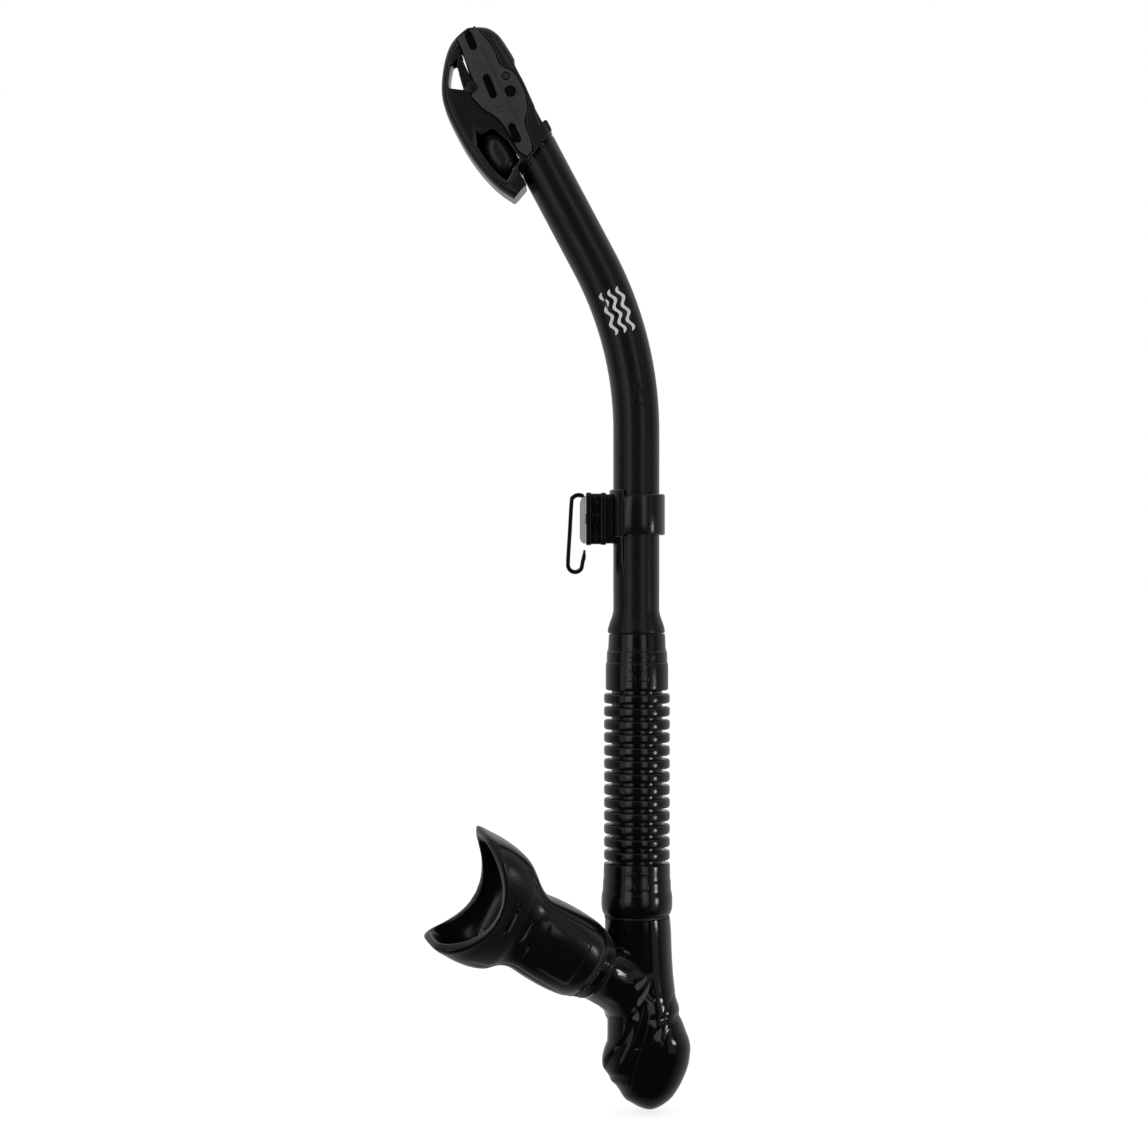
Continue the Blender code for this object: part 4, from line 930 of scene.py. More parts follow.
def make_hook():
    """The swivelling hook: a pale upright plate and a dark strip bent round it, open below."""
    place = Matrix.Translation((HOOK_X, 0, KEEPER_Z)) @ QUARTER_X
    leg_low = -19.8
    radius = 3.0
    path = [(0.6, 9.7), (-1.2, 10.15), (-2.6, 10.1), (-4.0, 9.2), (-4.7, 7.4), (-5.5, -6.0),
            (-6.25, leg_low + 1.2)]
    centre = Vector((-6.2 + radius, leg_low))
    for step in range(1, 8):
        angle = math.pi + math.pi * step / 8
        path.append((centre.x + radius * math.cos(angle), centre.y + radius * math.sin(angle)))
    path += [(0.1, leg_low + 1.6), (0.55, -16.4), (0.85, -13.4)]
    smooth = spline(path, 6)
    tangent = np.gradient(smooth, axis=0)
    tangent /= np.linalg.norm(tangent, axis=1)[:, None]
    across = np.stack([-tangent[:, 1], tangent[:, 0]], 1)
    share = np.linspace(0, 1, len(smooth))
    half = 0.86 * (1 - 0.45 * smoothstep(0.93, 1.0, share)) * (1 - 0.3 * smoothstep(0.03, 0.0, share))
    rings = []
    for k, centre in enumerate(smooth):
        corners = [(-half[k], -8.0), (half[k], -8.0), (half[k], 8.0), (-half[k], 8.0)]
        rings.append([(*(centre + across[k] * a), depth) for a, depth in rounded(corners, 0.4, 3)])
    strip = skin("strap_hook_strip", rings, matrix=place)
    dress(strip, KEEPER_PLASTIC, "hook", "strap_hook")
    plate = [(1.35, 10.0), (0.3, 9.6), (-0.8, 8.0), (-1.15, 6.6), (-1.15, -8.2), (-0.7, -9.6), (0.2, -10.5),
             (1.35, -10.6)]
    piece = extruded("strap_hook_plate", [rounded(plate, 0.3, 2)], -7.8, 7.8, 0.35, place, 1)
    turn = place @ Matrix.Rotation(-math.pi / 2, 4, "Y")
    hole = turned("plate_hole", [(2.5, 5), (2.5, -5)], 48, turn, tube=False)
    recess = turned("plate_recess", [(4.1, 5), (4.1, -0.2)], 48, turn, tube=False)
    combine(piece, [hole, recess])
    close_mesh(piece.data, 35)
    dress(piece, GREY, "hook")


# ---------------------------------------------------------------- flexible hose

HOSE_TOP = box_mm("hose_cuff_upper")[0].z
HOSE_BOTTOM = box_mm("hose_cuff_lower")[1].z
RING_COUNT = 13
RING_LOW, RING_HIGH = box_mm("hose_ring_01")
RING_HEIGHT = RING_HIGH.z - RING_LOW.z
RING_RADIUS = RING_HIGH.x
PITCH = (HOSE_TOP - HOSE_BOTTOM + RING_HEIGHT) / (RING_COUNT + 1)
GROOVE = PITCH - RING_HEIGHT


def on_cuff(radius_at, turn):
    """Places a pad on a turned piece, facing turn radians round from the camera's side."""
    def place(x, z, height):
        radius = radius_at(z) + height
        angle = x / radius_at(z) + turn
        return np.array((radius * math.sin(angle), -radius * math.cos(angle), z))
    return place


def cuff_pads(name, radius_at, rows):
    """Pairs of embossed pads in rows, on the front and the back of a cuff."""
    made = []
    for side, turn in (("front", 0.0), ("back", math.pi)):
        place = on_cuff(radius_at, turn)
        for r, (z, shape) in enumerate(rows):
            for k, mirror in enumerate((-1, 1)):
                outline = [(mirror * x, z + up) for x, up in shape]
                label = f"{name}_pad_{side}_{r + 1}_{k + 1}"
                made.append(pad(label, rounded(outline, 0.5, 4), place, 0.42, 0.4))
    return made


BAR = [(1.0, -0.85), (4.6, -0.85), (4.6, 0.85), (1.0, 0.85)]
WIDE_BAR = [(0.9, -1.25), (4.8, -1.25), (4.8, 1.25), (0.9, 1.25)]
SHIELD = [(1.2, -2.2), (3.4, -2.6), (5.0, 0.0), (3.6, 2.3), (1.0, 1.7)]
CHEVRON = [(1.0, 0.4), (3.4, 2.2), (5.2, 1.4), (3.2, 0.0), (4.6, -1.8), (2.4, -2.2)]


def make_cuffs():
    top = box_mm("hose_cuff_upper")[1].z
    upper = [(12.1, top), (12.2, 119.5), (12.35, 116.0), (12.6, 114.2), (12.95, 113.4), (13.05, 109.4),
             (13.4, 108.4), (13.5, 105.0), (13.5, HOSE_TOP + 0.9)]
    outer = spline([(11.75, top - 0.02), (12.02, top - 0.25)] + upper[1:], 6)
    profile = [tuple(p) for p in outer] + [(13.38, HOSE_TOP + 0.3), (13.0, HOSE_TOP), (HOSE_BORE, HOSE_TOP),
               (HOSE_BORE, 105.2), (SPIGOT_RADIUS + GAP, 105.2), (SPIGOT_RADIUS + GAP, top)]
    cuff = turned("hose_cuff_upper_skin", profile, 144)
    dress(cuff, CUFF_RUBBER, "barrel", "hose_cuff_upper")
    heights, radii = outer[::-1, 1], outer[::-1, 0]
    upper_radius = lambda z: float(np.interp(z, heights, radii))
    rows = [(114.9, BAR), (112.2, BAR), (107.8, SHIELD), (102.6, WIDE_BAR)]
    for piece in cuff_pads("cuff_upper", upper_radius, rows):
        dress(piece, CUFF_RUBBER, "barrel")
    foot = box_mm("hose_cuff_lower")[0].z
    lower = spline([(13.9, HOSE_BOTTOM), (14.2, HOSE_BOTTOM - 0.3), (14.3, 21.0), (14.35, 16.6),
                    (14.6, 14.8),
                    (14.75, 11.2), (15.1, 9.6), (15.3, 7.0), (15.25, 4.2), (14.9, 2.2), (14.35, 1.0),
                    (13.9, foot)], 6)
    profile = [tuple(p) for p in lower] + [(SPIGOT_RADIUS + GAP, foot), (SPIGOT_RADIUS + GAP, 12.8),
               (HOSE_BORE, 12.8), (HOSE_BORE, HOSE_BOTTOM)]
    cuff = turned("hose_cuff_lower_skin", profile, 144)
    dress(cuff, CUFF_RUBBER, "lower_unit", "hose_cuff_lower")
    lower_radius = lambda z: float(np.interp(z, lower[::-1, 1], lower[::-1, 0]))
    for piece in cuff_pads("cuff_lower", lower_radius, [(19.4, BAR), (13.4, WIDE_BAR), (5.6, CHEVRON)]):
        dress(piece, CUFF_RUBBER, "lower_unit")


def make_rings():
    """Ribs with tapering flanks; a groove's floor is a ball zone round its hinge, inside the rib above."""
    half = RING_HEIGHT / 2
    right = [(RING_RADIUS - 0.05, half - 0.75), (RING_RADIUS - 0.22, half - 0.32),
             (RING_RADIUS - 0.6, half - 0.02),
             (RING_RADIUS - 1.6, half + 0.05), (11.2, half + 0.16), (9.3, half + 0.16)]
    outer = [(RING_RADIUS, half - 1.2)] + right
    profile = outer[::-1] + [(radius, -z) for radius, z in outer]
    bodies = ["barrel"] + [f"hose_link_{i:02d}" for i in range(1, RING_COUNT + 1)] + ["lower_unit"]
    for i in range(RING_COUNT):
        middle = HOSE_TOP - GROOVE - half - i * PITCH
        ring = turned(f"hose_rib_{i + 1:02d}", profile[::-1], 144, Matrix.Translation((0, 0, middle)))
        dress(ring, SOFT_GLOSS, bodies[i + 1], f"hose_ring_{i + 1:02d}")
    high = GROOVE / 2 + 1.05
    round_face = [(math.sqrt(10.9 ** 2 - z * z), z) for z in np.linspace(-high, high, 9)]
    web = round_face[::-1] + [(9.75, -high), (9.65, 0.0), (9.75, high)]
    for i in range(RING_COUNT + 1):
        middle = HOSE_TOP - GROOVE / 2 - i * PITCH
        piece = turned(f"hose_web_{i + 1:02d}", web, 96, Matrix.Translation((0, 0, middle)))
        dress(piece, SOFT_GLOSS, bodies[i + 1])


# ---------------------------------------------------------------- lower unit

UNIT_LOW = local(CAD_BOX[0]).z
UNIT_RIGHT = local(CAD_BOX[1]).x
CHAMBER_TOP = -0.7
LEFT_EDGE = [(-13.8, 0.0), (-13.6, -12.0), (-13.4, -24.0), (-13.0, -36.0), (-12.5, -46.0), (-12.4, -53.6),
             (-13.1, -55.7), (-13.8, -57.9), (-14.3, -60.0), (-14.5, -62.2), (-14.3, -64.3), (-13.6, -66.5),
             (-12.0, -68.6), (-10.9, -70.8), (-9.2, -72.9), (-7.6, -75.1), (-6.2, -77.2), (-4.0, -79.4),
             (-0.4, -81.7), (2.4, -82.9), (5.2, -83.7)]
RIGHT_EDGE = [(14.2, 0.0), (14.7, -6.0), (15.0, -14.0), (15.3, -20.0), (15.7, -25.7), (16.4, -32.0),
              (16.7, -34.6),
              (17.8, -38.0), (18.4, -40.7), (18.2, -42.8), (19.4, -45.0), (21.0, -49.3), (22.6, -53.6),
              (23.1, -57.0), (22.9, -60.0), (22.2, -64.3), (20.7, -68.6), (18.7, -72.9), (16.0, -77.2),
              (14.0, -79.4), (11.2, -81.5), (8.2, -83.0), (5.2, -83.7)]
HALF_DEPTH = [(14.0, 0.0), (14.0, -33.0), (14.2, -46.0), (14.3, -54.0), (13.8, -62.0), (12.4, -69.0),
              (10.0, -76.0), (7.0, -80.4), (3.8, -82.8), (0.5, -83.7)]
# Edges of the overlapping leaves on the housing's front, as (x, z)
SADDLE = [(-13.0, -3.9), (-9.5, -11.9), (-5.1, -15.2), (-3.8, -19.7), (-2.9, -30.9), (-3.7, -40.3),
          (-5.0, -48.6),
          (-9.2, -55.3), (-12.5, -60.1), (-14.0, -64.9), (-14.8, -68.8)]
LEAF_TWO = [(3.2, -34.6), (2.2, -40.7), (0.0, -48.9), (-3.9, -57.2), (-8.2, -65.4), (-10.1, -70.4),
            (-11.4, -74.8)]
LEAF_THREE = [(6.7, -36.6), (5.0, -43.3), (3.8, -49.5), (1.7, -55.8), (-0.5, -63.4), (-1.7, -69.0),
              (-2.5, -74.9),
              (-4.8, -82.1)]
BAND_UPPER = [(18.5, -29.9), (15.0, -34.8), (12.0, -40.9), (9.4, -46.6), (5.6, -53.1)]
BAND_LOWER = [(20.5, -38.1), (16.5, -43.2), (13.2, -47.8), (10.4, -54.4)]
SLIT_UPPER = [(-1.7, -18.2), (2.4, -24.6), (5.6, -29.5), (6.6, -32.7)]
SLIT_LOWER = [(-1.7, -20.0), (0.0, -27.0), (2.3, -31.5), (6.4, -34.5)]


def beside(x, z, line):
    """Distance from a line, positive on the right of its direction down, and the share of its length."""
    line = spline(line, 6)
    lengths = np.linalg.norm(np.diff(line, axis=0), axis=1)
    starts = np.concatenate([[0], np.cumsum(lengths)])
    best = np.full(x.shape, 1e9)
    signed = np.zeros(x.shape)
    share = np.zeros(x.shape)
    for k, length in enumerate(lengths):
        along = (line[k + 1] - line[k]) / length
        dx, dz = x - line[k][0], z - line[k][1]
        t = np.clip(dx * along[0] + dz * along[1], 0, length)
        off_x, off_z = dx - t * along[0], dz - t * along[1]
        distance = np.hypot(off_x, off_z)
        nearer = distance < best
        side = np.where(dz * along[0] - dx * along[1] > 0, 1.0, -1.0)
        best = np.where(nearer, distance, best)
        signed = np.where(nearer, distance * side, signed)
        share = np.where(nearer, (starts[k] + t) / starts[-1], share)
    return signed, share


def leaf(x, z, line, height, broad, sharp=0.55, fade=0.2, fade_end=0.0):
    """A leaf's edge: it falls away sharply past the line and slowly behind it."""
    distance, share = beside(x, z, line)
    profile = np.where(distance > 0, 1 - smoothstep(0, sharp, distance), np.exp(-(distance / broad) ** 2))
    strength = smoothstep(0, fade, share) if fade else 1.0
    if fade_end:
        strength = strength * (1 - smoothstep(1 - fade_end, 1, share))
    return height * profile * strength


def crease(x, z, line, depth, width, fade=0.15):
    distance, share = beside(x, z, line)
    strength = smoothstep(0, fade, share) * (1 - smoothstep(1 - fade, 1, share))
    return -depth * np.exp(-(distance / width) ** 2) * strength


def housing_relief(x, z):
    """How far the housing's side stands out at a place seen from the front."""
    relief = leaf(x, z, SADDLE, 0.9, 9.0, 0.9, 0.05)
    relief = relief + leaf(x, z, LEAF_TWO, 0.55, 3.6, 0.8, 0.25)
    relief = relief + leaf(x, z, LEAF_THREE, 0.45, 3.2, 0.8, 0.25)
    distance_up, share_up = beside(x, z, BAND_UPPER)
    distance_low, _ = beside(x, z, BAND_LOWER)
    strip = smoothstep(-0.3, 0.3, -distance_up) * smoothstep(-0.3, 0.3, distance_low)
    relief = relief + 0.35 * strip * (1 - smoothstep(0.55, 0.95, share_up))
    relief = relief + crease(x, z, BAND_UPPER, 0.35, 0.5, 0.3) + crease(x, z, BAND_LOWER, 0.4, 0.5, 0.3)
    over, _ = beside(x, z, SLIT_UPPER)
    under, _ = beside(x, z, SLIT_LOWER)
    inside = smoothstep(-0.25, 0.25, -over) * smoothstep(-0.25, 0.25, under)
    near = smoothstep(-36.0, -34.2, z) * (1 - smoothstep(-19.2, -18.0, z)) * smoothstep(-2.3, -1.1, x)
    relief = relief - 0.8 * inside * near * (1 - smoothstep(6.3, 7.5, x))
    return relief


def housing_edges(heights):
    """Left edge, right edge and half depth at heights."""
    edges = []
    for table in (LEFT_EDGE, RIGHT_EDGE, HALF_DEPTH):
        dense = spline(table, 8)
        order = np.argsort(-dense[:, 1], kind="stable")
        edges.append(np.interp(-np.asarray(heights, float), -dense[order, 1], dense[order, 0]))
    return edges


def on_housing(x, z, side, lift):
    """A place on the housing's front or back, side -1 or 1, lifted off its surface."""
    left, right, depth = housing_edges(z)
    share = np.clip((x - (left + right) / 2) / ((right - left) / 2), -0.985, 0.985)
    out = np.stack([share / ((right - left) / 2), side * np.sqrt(1 - share ** 2) / depth], 1)
    out /= np.linalg.norm(out, axis=1)[:, None]
    height = (housing_relief(x, z) + lift)[:, None]
    surface = np.stack([x, side * depth * np.sqrt(1 - share ** 2)], 1) + out * height
    return np.column_stack([surface, z])


def make_housing_lines():
    """Thin raised edges that catch the light along the leaves, the band and the slit."""
    lines = {"saddle": (SADDLE, -0.35, 0.3, 1, 9), "leaf_two": (LEAF_TWO, -0.3, 0.26, 0, 6),
             "leaf_three": (LEAF_THREE, -0.3, 0.26, 0, 7), "band_upper": (BAND_UPPER, 0.35, 0.24, 1, 4),
             "band_lower": (BAND_LOWER, -0.35, 0.24, 1, 3), "slit_upper": (SLIT_UPPER, 0.5, 0.26, 0, 3),
             "slit_lower": (SLIT_LOWER, -0.4, 0.26, 0, 3)}
    for key, (line, shift, radius, first, last) in lines.items():
        path = spline(line[first:last + 1], 10)
        left, right, _ = housing_edges(path[:, 1])
        path = path[(path[:, 0] > left + 1.2) & (path[:, 0] < right - 1.2)]
        for side, front in (("front", -1), ("back", 1)):
            places = on_housing(path[:, 0] + shift, path[:, 1], front, -0.08)
            piece = bead(f"housing_line_{key}_{side}", places, radius, 0.8)
            dress(piece, GLOSS, "lower_unit")


def make_housing():
    """Purge chamber and cover as one moulded skin: a tube that swells into the bulb."""
    angle = turns(272)
    span = CHAMBER_TOP - UNIT_LOW - 0.05
    tip = 0.9 + 0.1 * np.sin(np.linspace(0, math.pi / 2, 50))
    share = np.concatenate([np.linspace(0, 0.9, 290)[:-1], tip])
    heights = CHAMBER_TOP - span * share
    left, right, depth = housing_edges(heights)
    centre = ((left + right) / 2)[:, None]
    half = ((right - left) / 2)[:, None]
    x = centre + half * np.cos(angle)
    y = depth[:, None] * np.sin(angle)
    z = np.repeat(heights[:, None], len(angle), 1)
    points = np.stack([x, y, z], 2)
    du = np.roll(points, -1, 1) - np.roll(points, 1, 1)
    dv = np.gradient(points, axis=0)
    normal = np.cross(dv, du)
    normal /= np.linalg.norm(normal, axis=2)[..., None] + 1e-12
    axis = np.stack([centre[:, 0], 0 * heights, heights], 1)[:, None]
    facing = np.sign((normal * (points - axis)).sum(2).mean())
    relief = housing_relief(x, z) * (1 - smoothstep(UNIT_LOW + 3.0, UNIT_LOW + 0.8, z))
    side_on = smoothstep(0.0, 0.35, abs(np.sin(angle)))[None, :]
    relief = relief * np.where(z > -40, side_on, 0.55 + 0.45 * side_on)
    for _ in range(9):
        relief = (np.roll(relief, 1, 1) + 2 * relief + np.roll(relief, -1, 1)) / 4
        relief[1:-1] = (relief[:-2] + 2 * relief[1:-1] + relief[2:]) / 4
    points = points + normal * facing * relief[..., None]
    points[..., 0] = np.clip(points[..., 0], None, UNIT_RIGHT)
    points[..., 1] = np.clip(points[..., 1], -15.2, local(CAD_BOX[1]).y)
    top = [disc(SPIGOT_RADIUS, 12.0, angle), disc(SPIGOT_RADIUS, CHAMBER_TOP + 0.01, angle),
           disc(13.5, CHAMBER_TOP + 0.02, angle)]
    housing = skin("purge_housing", top + list(points), angle=60)
    dress(housing, GLOSS, "lower_unit", "purge_chamber", "purge_cover")


# ---------------------------------------------------------------- branch and mouthpiece

PORT_AXIS = Vector(JOINTS["mouthpiece_turn"]["axis"])
PORT_RISE = math.atan2(PORT_AXIS.z, -PORT_AXIS.x)
PORT_ACROSS = Vector((math.sin(PORT_RISE), 0, math.cos(PORT_RISE)))
PORT_ORIGIN = joint_mm("mouthpiece_turn")
PORT = Matrix.Translation(PORT_ORIGIN) @ Matrix(
    (PORT_ACROSS, PORT_AXIS.cross(PORT_ACROSS), PORT_AXIS)).transposed().to_4x4()


def make_branch():
    """The side branch: it spreads where it leaves the housing and ends in a lip."""
    outer = spline([(17.4, 4.4), (15.7, 6.4), (14.6, 9.5), (14.0, 13.0), (13.9, 17.0), (14.0, 20.0),
                    (14.3, 22.6),
                    (15.0, 24.0), (15.0, 24.7), (14.7, 25.1)], 5)
    angle = turns(160)
    rings = []
    for radius, t in outer:
        ribs = (0.2 * smoothstep(0.3, 0.95, np.cos(angle * 9)) * smoothstep(9, 13, t)
                * (1 - smoothstep(17, 21, t)))
        rings.append(disc(radius - 0.2 + ribs, t, angle))
    nozzle = [(11.6, 25.1), (11.6, 30.1), (10.7, 30.2), (10.7, 31.8), (11.6, 31.9), (11.6, 34.5),
              (11.2, 34.8),
              (9.6, 34.8), (9.6, 4.4)]
    rings += [disc(radius, t, angle) for radius, t in nozzle]
    piece = skin("mouth_branch", rings, tube=True, matrix=PORT)
    dress(piece, GLOSS, "lower_unit")


def make_swivel():
    """The turning collar and the ring that locks the mouthpiece on it."""
    profile = [(13.2, 43.8), (13.2, 28.7), (14.9, 28.7), (15.2, 28.4), (15.2, 27.4), (14.95, 27.2),
               (14.95, 26.9),
               (15.2, 26.7), (15.2, 25.8), (14.9, 25.5), (11.9, 25.5), (11.9, 35.2), (9.6, 35.2),
               (9.6, 43.8)]
    swivel = turned("swivel_collar", profile, 128, PORT, 35)
    dress(swivel, GLOSS, "mouthpiece", "mouthpiece_swivel")
    angle = turns(192)
    rings = []
    for radius, t in ((13.5, 30.0), (16.2, 30.0), (16.45, 29.8), (16.45, 29.2), (16.2, 29.0), (13.5, 29.0)):
        grip = 0.18 * np.cos(angle * 48) if radius > 16 else 0.0
        rings.append(disc(radius - 0.18 + grip, t, angle))
    ring = skin("swivel_lock_ring", rings, tube=True, matrix=PORT, angle=35)
    dress(ring, SHELL_PLASTIC, "mouthpiece", "swivel_ring")


MOUTH_START = 30.4
FLANGE_SHIFT = 1.5
FLANGE_SKEW = 0.12
# half height, half width, distance along the branch, lead of the ends, squareness, share of shift and skew
MOUTH_OUTSIDE = [(16.3, 16.1, MOUTH_START, 0, 2.1, 0), (16.8, 16.5, 31.4, 0, 2.1, 0),
                 (17.3, 17.0, 33.3, 0, 2.2, 0),
                 (17.7, 17.0, 38.0, 0, 2.4, 0), (17.9, 16.4, 45.0, 0, 2.6, 0),
                 (17.6, 15.4, 53.0, 0, 2.7, 0),
                 (17.1, 14.0, 60.0, 0, 2.7, 0), (18.0, 13.2, 63.8, 0.2, 2.7, 0.15),
                 (19.9, 13.1, 66.8, 0.6, 2.6, 0.4),
                 (22.4, 13.3, 69.4, 1.2, 2.6, 0.75), (24.8, 13.8, 72.0, 2.6, 2.8, 1),
                 (26.4, 14.4, 75.0, 5.4, 3.0, 1),
                 (27.0, 15.0, 78.0, 9.4, 3.4, 1), (26.8, 15.6, 80.6, 13.6, 3.8, 1),
                 (26.6, 15.9, 81.7, 15.8, 4.2, 1)]
MOUTH_LIP = [(26.3, 15.9, 82.3, 16.6, 4.2, 1), (25.9, 15.6, 82.7, 16.9, 4.2, 1),
             (24.2, 14.0, 82.6, 16.9, 4.0, 1),
             (23.4, 13.2, 82.4, 16.7, 3.9, 1), (23.1, 12.8, 81.8, 16.0, 3.8, 1)]
MOUTH_INSIDE = [(23.2, 12.8, 80.6, 14.2, 3.6, 1), (23.4, 12.4, 78.0, 9.8, 3.3, 1),
                (22.4, 11.4, 75.6, 6.4, 3.0, 1),
                (19.6, 9.8, 73.6, 3.4, 2.8, 0.8), (15.4, 7.6, 72.2, 1.2, 2.5, 0.4),
                (12.4, 6.0, 71.2, 0, 2.2, 0.1),
                (11.0, 6.0, 65.0, 0, 2.2, 0), (10.6, 7.2, 58.0, 0, 2.1, 0), (9.8, 9.4, 50.0, 0, 2.0, 0),
                (9.8, 9.8, 44.3, 0, 2.0, 0)]


def make_mouthpiece():
    around = 256
    outside = spline(MOUTH_OUTSIDE, 8)
    lip = spline(MOUTH_OUTSIDE[-1:] + MOUTH_LIP + MOUTH_INSIDE[:1], 4)[1:-1]
    inside = spline(MOUTH_INSIDE, 5)
    rings = []
    for group, table in (("out", outside), ("lip", lip), ("in", inside)):
        for half_height, half_width, distance, lead, power, share in table:
            x, y = oval(half_height, half_width, around, power)
            t = distance + lead * (x / half_height) ** 2 + FLANGE_SKEW * share * x
            if group == "out":
                size = np.hypot(x, y)
                push = mouth_relief(x, y, t, half_height) / size
                x, y = x * (1 + push), y * (1 + push)
            rings.append(np.stack([x + FLANGE_SHIFT * share, y, t], 1))
    socket_radius = 13.5
    rings += [disc(socket_radius, t, turns(around)) for t in (44.3, MOUTH_START)]
    piece = skin("mouthpiece_body", rings, tube=True, matrix=PORT, angle=60)
    dress(piece, MOUTH_RUBBER, "mouthpiece", "mouthpiece")


def mouth_relief(x, y, t, half_height):
    """Grooves, creases and panels on the mouthpiece, the same on its near and far sides."""
    flank = smoothstep(0.35, 0.6, abs(y) / np.hypot(x, y))
    relief = np.zeros_like(x)
    for at, low, high, shift in ((76.0, -5.0, 8.1, 0.1), (67.0, -4.6, 5.5, 0.0), (63.2, -9.5, -4.0, 0.1)):
        place = at + shift * x
        length = smoothstep(low - 0.8, low + 0.8, x) * (1 - smoothstep(high - 0.8, high + 0.8, x))
        for edge in (-0.85, 0.85):
            relief += 0.35 * np.exp(-((t - place - edge) / 0.32) ** 2) * length * flank
        relief -= 0.7 * np.exp(-((t - place) / 0.75) ** 2) * length * flank
    crease_at = abs(abs(x) / half_height - 0.86)
    relief -= 0.35 * np.exp(-(crease_at / 0.03) ** 2) * smoothstep(36, 42, t) * (1 - smoothstep(76, 82, t))
    panel = smoothstep(38.5, 39.5, t) * (1 - smoothstep(56.0, 58.5, t - 0.25 * x))
    relief += 0.45 * panel * (1 - smoothstep(0.5, 0.62, abs(x) / half_height)) * flank
    return relief


def make_bite_tabs():
    """Two tabs for the teeth, standing in the cup on thin stems."""
    for key, sign in (("upper", 1), ("lower", -1)):
        stem = rounded([(9.0, 70.0), (14.0, 70.0), (14.0, 77.5), (9.0, 77.5)], 1.5)
        outline = [(sign * x, t) for x, t in stem]
        turn = PORT @ QUARTER_X
        piece = extruded("bite_stem_" + key, [outline], -1.4, 1.4, 0.6, turn, 1)
        dress(piece, MOUTH_RUBBER, "mouthpiece")
        tab = rounded([(8.2, -3.0), (15.2, -3.0), (15.2, 3.0), (8.2, 3.0)], 1.6)
        outline = [(sign * x, y) for x, y in tab]
        piece = extruded("bite_tab_" + key, [outline], 76.6, 78.8, 0.8, PORT, 1)
        dress(piece, MOUTH_RUBBER, "mouthpiece")


# ---------------------------------------------------------------- carried-over frame nodes

def dress_frame_nodes():
    """Every frame node that still shows gets the procedural material of its slot."""
    slots = {part["node"]: part["material_slot"] for part in frame["record"]["subparts"]}
    for name, node in frame["nodes"].items():
        if node.hide_render:
            continue
        node.data.materials.clear()
        node.data.materials.append(SLOTS[slots[name]][0])


# ---------------------------------------------------------------- stage, light and camera

def make_floor():
    bm = bmesh.new()
    bmesh.ops.create_circle(bm, cap_ends=True, segments=96, radius=12.0)
    mesh = bpy.data.meshes.new("floor")
    bm.to_mesh(mesh)
    bm.free()
    floor = link("floor", mesh)
    floor.location = (HOME.x, HOME.y, CAD_BOX[0].z - 0.0015)
    floor.visible_glossy = False
    floor.visible_diffuse = False
    material, nodes, links = node_material("pale_floor")
    shader = nodes["Principled BSDF"]
    shader.inputs["Base Color"].default_value = (0.9, 0.9, 0.9, 1.0)
    shader.inputs["Roughness"].default_value = 0.9
    shader.inputs["Specular IOR Level"].default_value = 0.0
    shader.inputs["Emission Color"].default_value = (1.0, 1.0, 1.0, 1.0)
    shader.inputs["Emission Strength"].default_value = FLOOR_GLOW
    floor.data.materials.append(material)


FLOOR_GLOW = 0.68
ROOM_DIFFUSE = 0.4


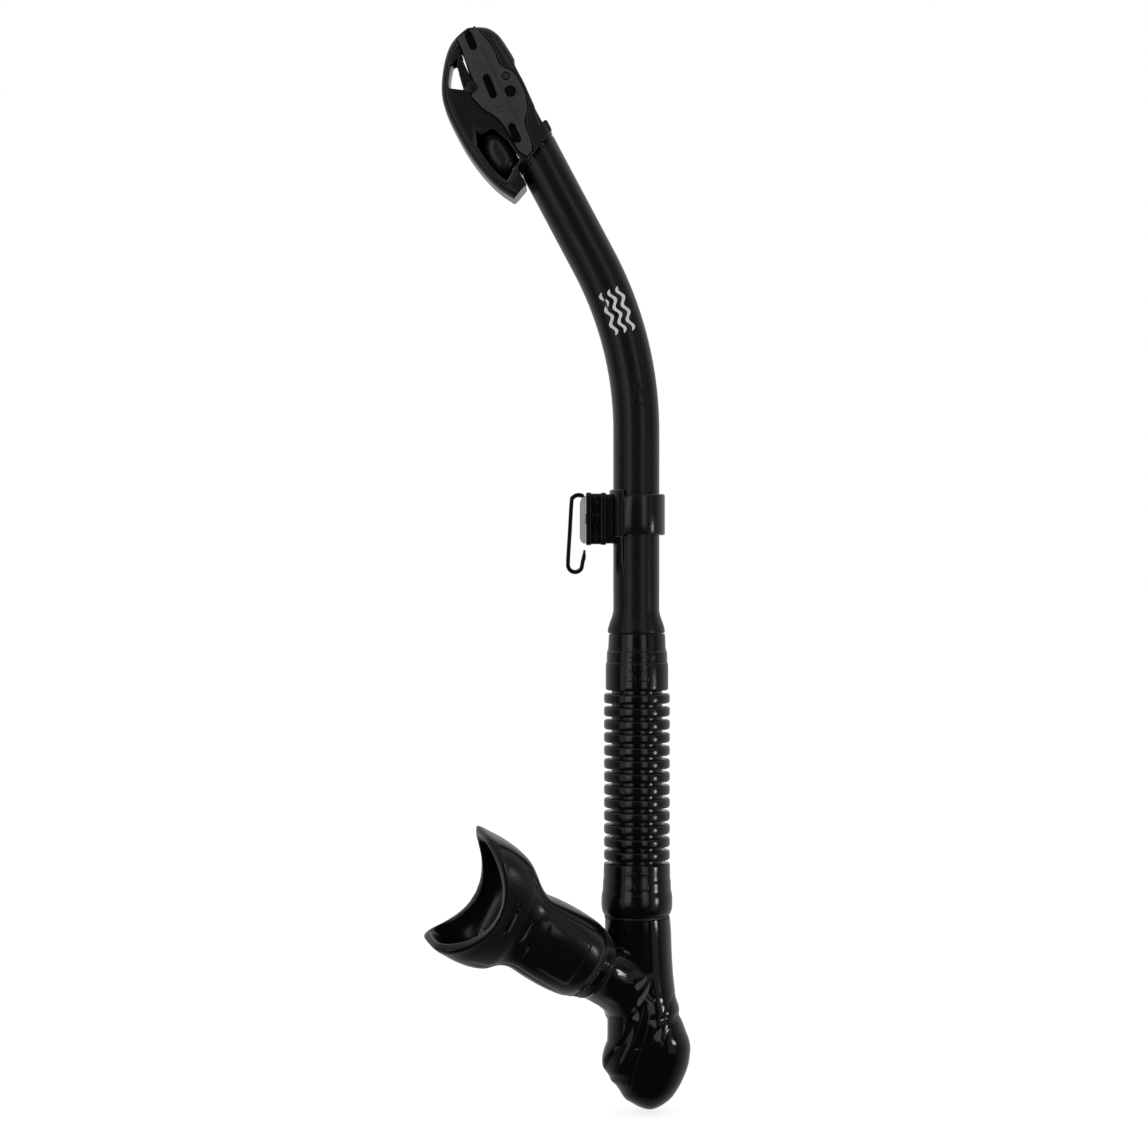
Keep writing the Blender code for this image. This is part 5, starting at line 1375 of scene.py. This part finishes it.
def make_world():
    """White to the camera. Reflected, it is a dark room in front and a pale backdrop behind."""
    world = bpy.data.worlds.new("studio")
    bpy.context.scene.world = world
    world.use_nodes = True
    nodes, links = world.node_tree.nodes, world.node_tree.links
    background = nodes["Background"]
    background.inputs["Color"].default_value = (1, 1, 1, 1)
    place = nodes.new("ShaderNodeTexCoord")
    parts = nodes.new("ShaderNodeSeparateXYZ")
    links.new(place.outputs["Generated"], parts.inputs[0])
    behind = ranged(nodes, links, parts.outputs["Y"], -0.35, 0.5, 0.03, 0.55)
    sky = ranged(nodes, links, parts.outputs["Z"], 0.2, 0.9, 0.0, 0.25)
    room = math_node(nodes, links, "ADD", behind, sky)
    path = nodes.new("ShaderNodeLightPath")
    seen = nodes.new("ShaderNodeMix")
    links.new(path.outputs["Is Diffuse Ray"], seen.inputs["Factor"])
    links.new(room, seen.inputs["A"])
    seen.inputs["B"].default_value = ROOM_DIFFUSE
    mix = nodes.new("ShaderNodeMix")
    links.new(path.outputs["Is Camera Ray"], mix.inputs["Factor"])
    links.new(seen.outputs["Result"], mix.inputs["A"])
    mix.inputs["B"].default_value = 1.0
    links.new(mix.outputs["Result"], background.inputs["Strength"])


def area_light(name, azimuth, height, distance, width, tall, radiance, aim_height=0.14):
    """A soft box at an azimuth from the camera's side, facing the object's axis."""
    data = bpy.data.lights.new(name, "AREA")
    data.shape = "RECTANGLE"
    data.size = width
    data.size_y = tall
    data.energy = radiance * math.pi * width * tall
    lamp = link(name, data)
    angle = math.radians(azimuth)
    lamp.location = HOME + Vector((math.sin(angle) * distance, -math.cos(angle) * distance, height))
    aim = HOME + Vector((0, 0, aim_height)) - lamp.location
    lamp.rotation_euler = aim.to_track_quat("-Z", "Y").to_euler()
    lamp.visible_camera = False
    return lamp


def make_lights():
    """Two tall soft boxes beside the camera that end at the hose's foot, and a small one for the bulb."""
    area_light("box_left", -31, 0.62, 1.3, 0.5, 1.5, 1.15, 0.62)
    area_light("box_right", 26, 0.62, 1.3, 0.42, 1.5, 0.95, 0.62)
    area_light("wash_left", -55, 0.3, 1.5, 0.5, 1.6, 0.5, 0.3)
    area_light("wash_right", 58, 0.3, 1.5, 0.6, 1.6, 0.25, 0.3)
    area_light("kicker", 66, -0.02, 0.9, 0.14, 0.10, 12.0, -0.06)


def make_camera():
    data = bpy.data.cameras.new("camera")
    data.sensor_width = 36.0
    data.lens = 87.7
    camera = link("camera", data)
    camera.location = HOME + Vector((-0.0275, -1.2, 0.1625))
    camera.rotation_euler = (math.pi / 2 - math.radians(0.718), 0, 0)
    bpy.context.scene.camera = camera


make_barrel()
make_barrel_details()
make_barrel_print()
make_head_shell()
make_guard()
make_side_plates()
make_float()
make_keeper_band()
make_keeper_boss()
make_hook()
make_cuffs()
make_rings()
make_housing()
make_housing_lines()
make_branch()
make_swivel()
make_mouthpiece()
make_bite_tabs()
dress_frame_nodes()
make_floor()
make_world()
make_lights()
make_camera()
bpy.context.scene.view_settings.view_transform = "Standard"
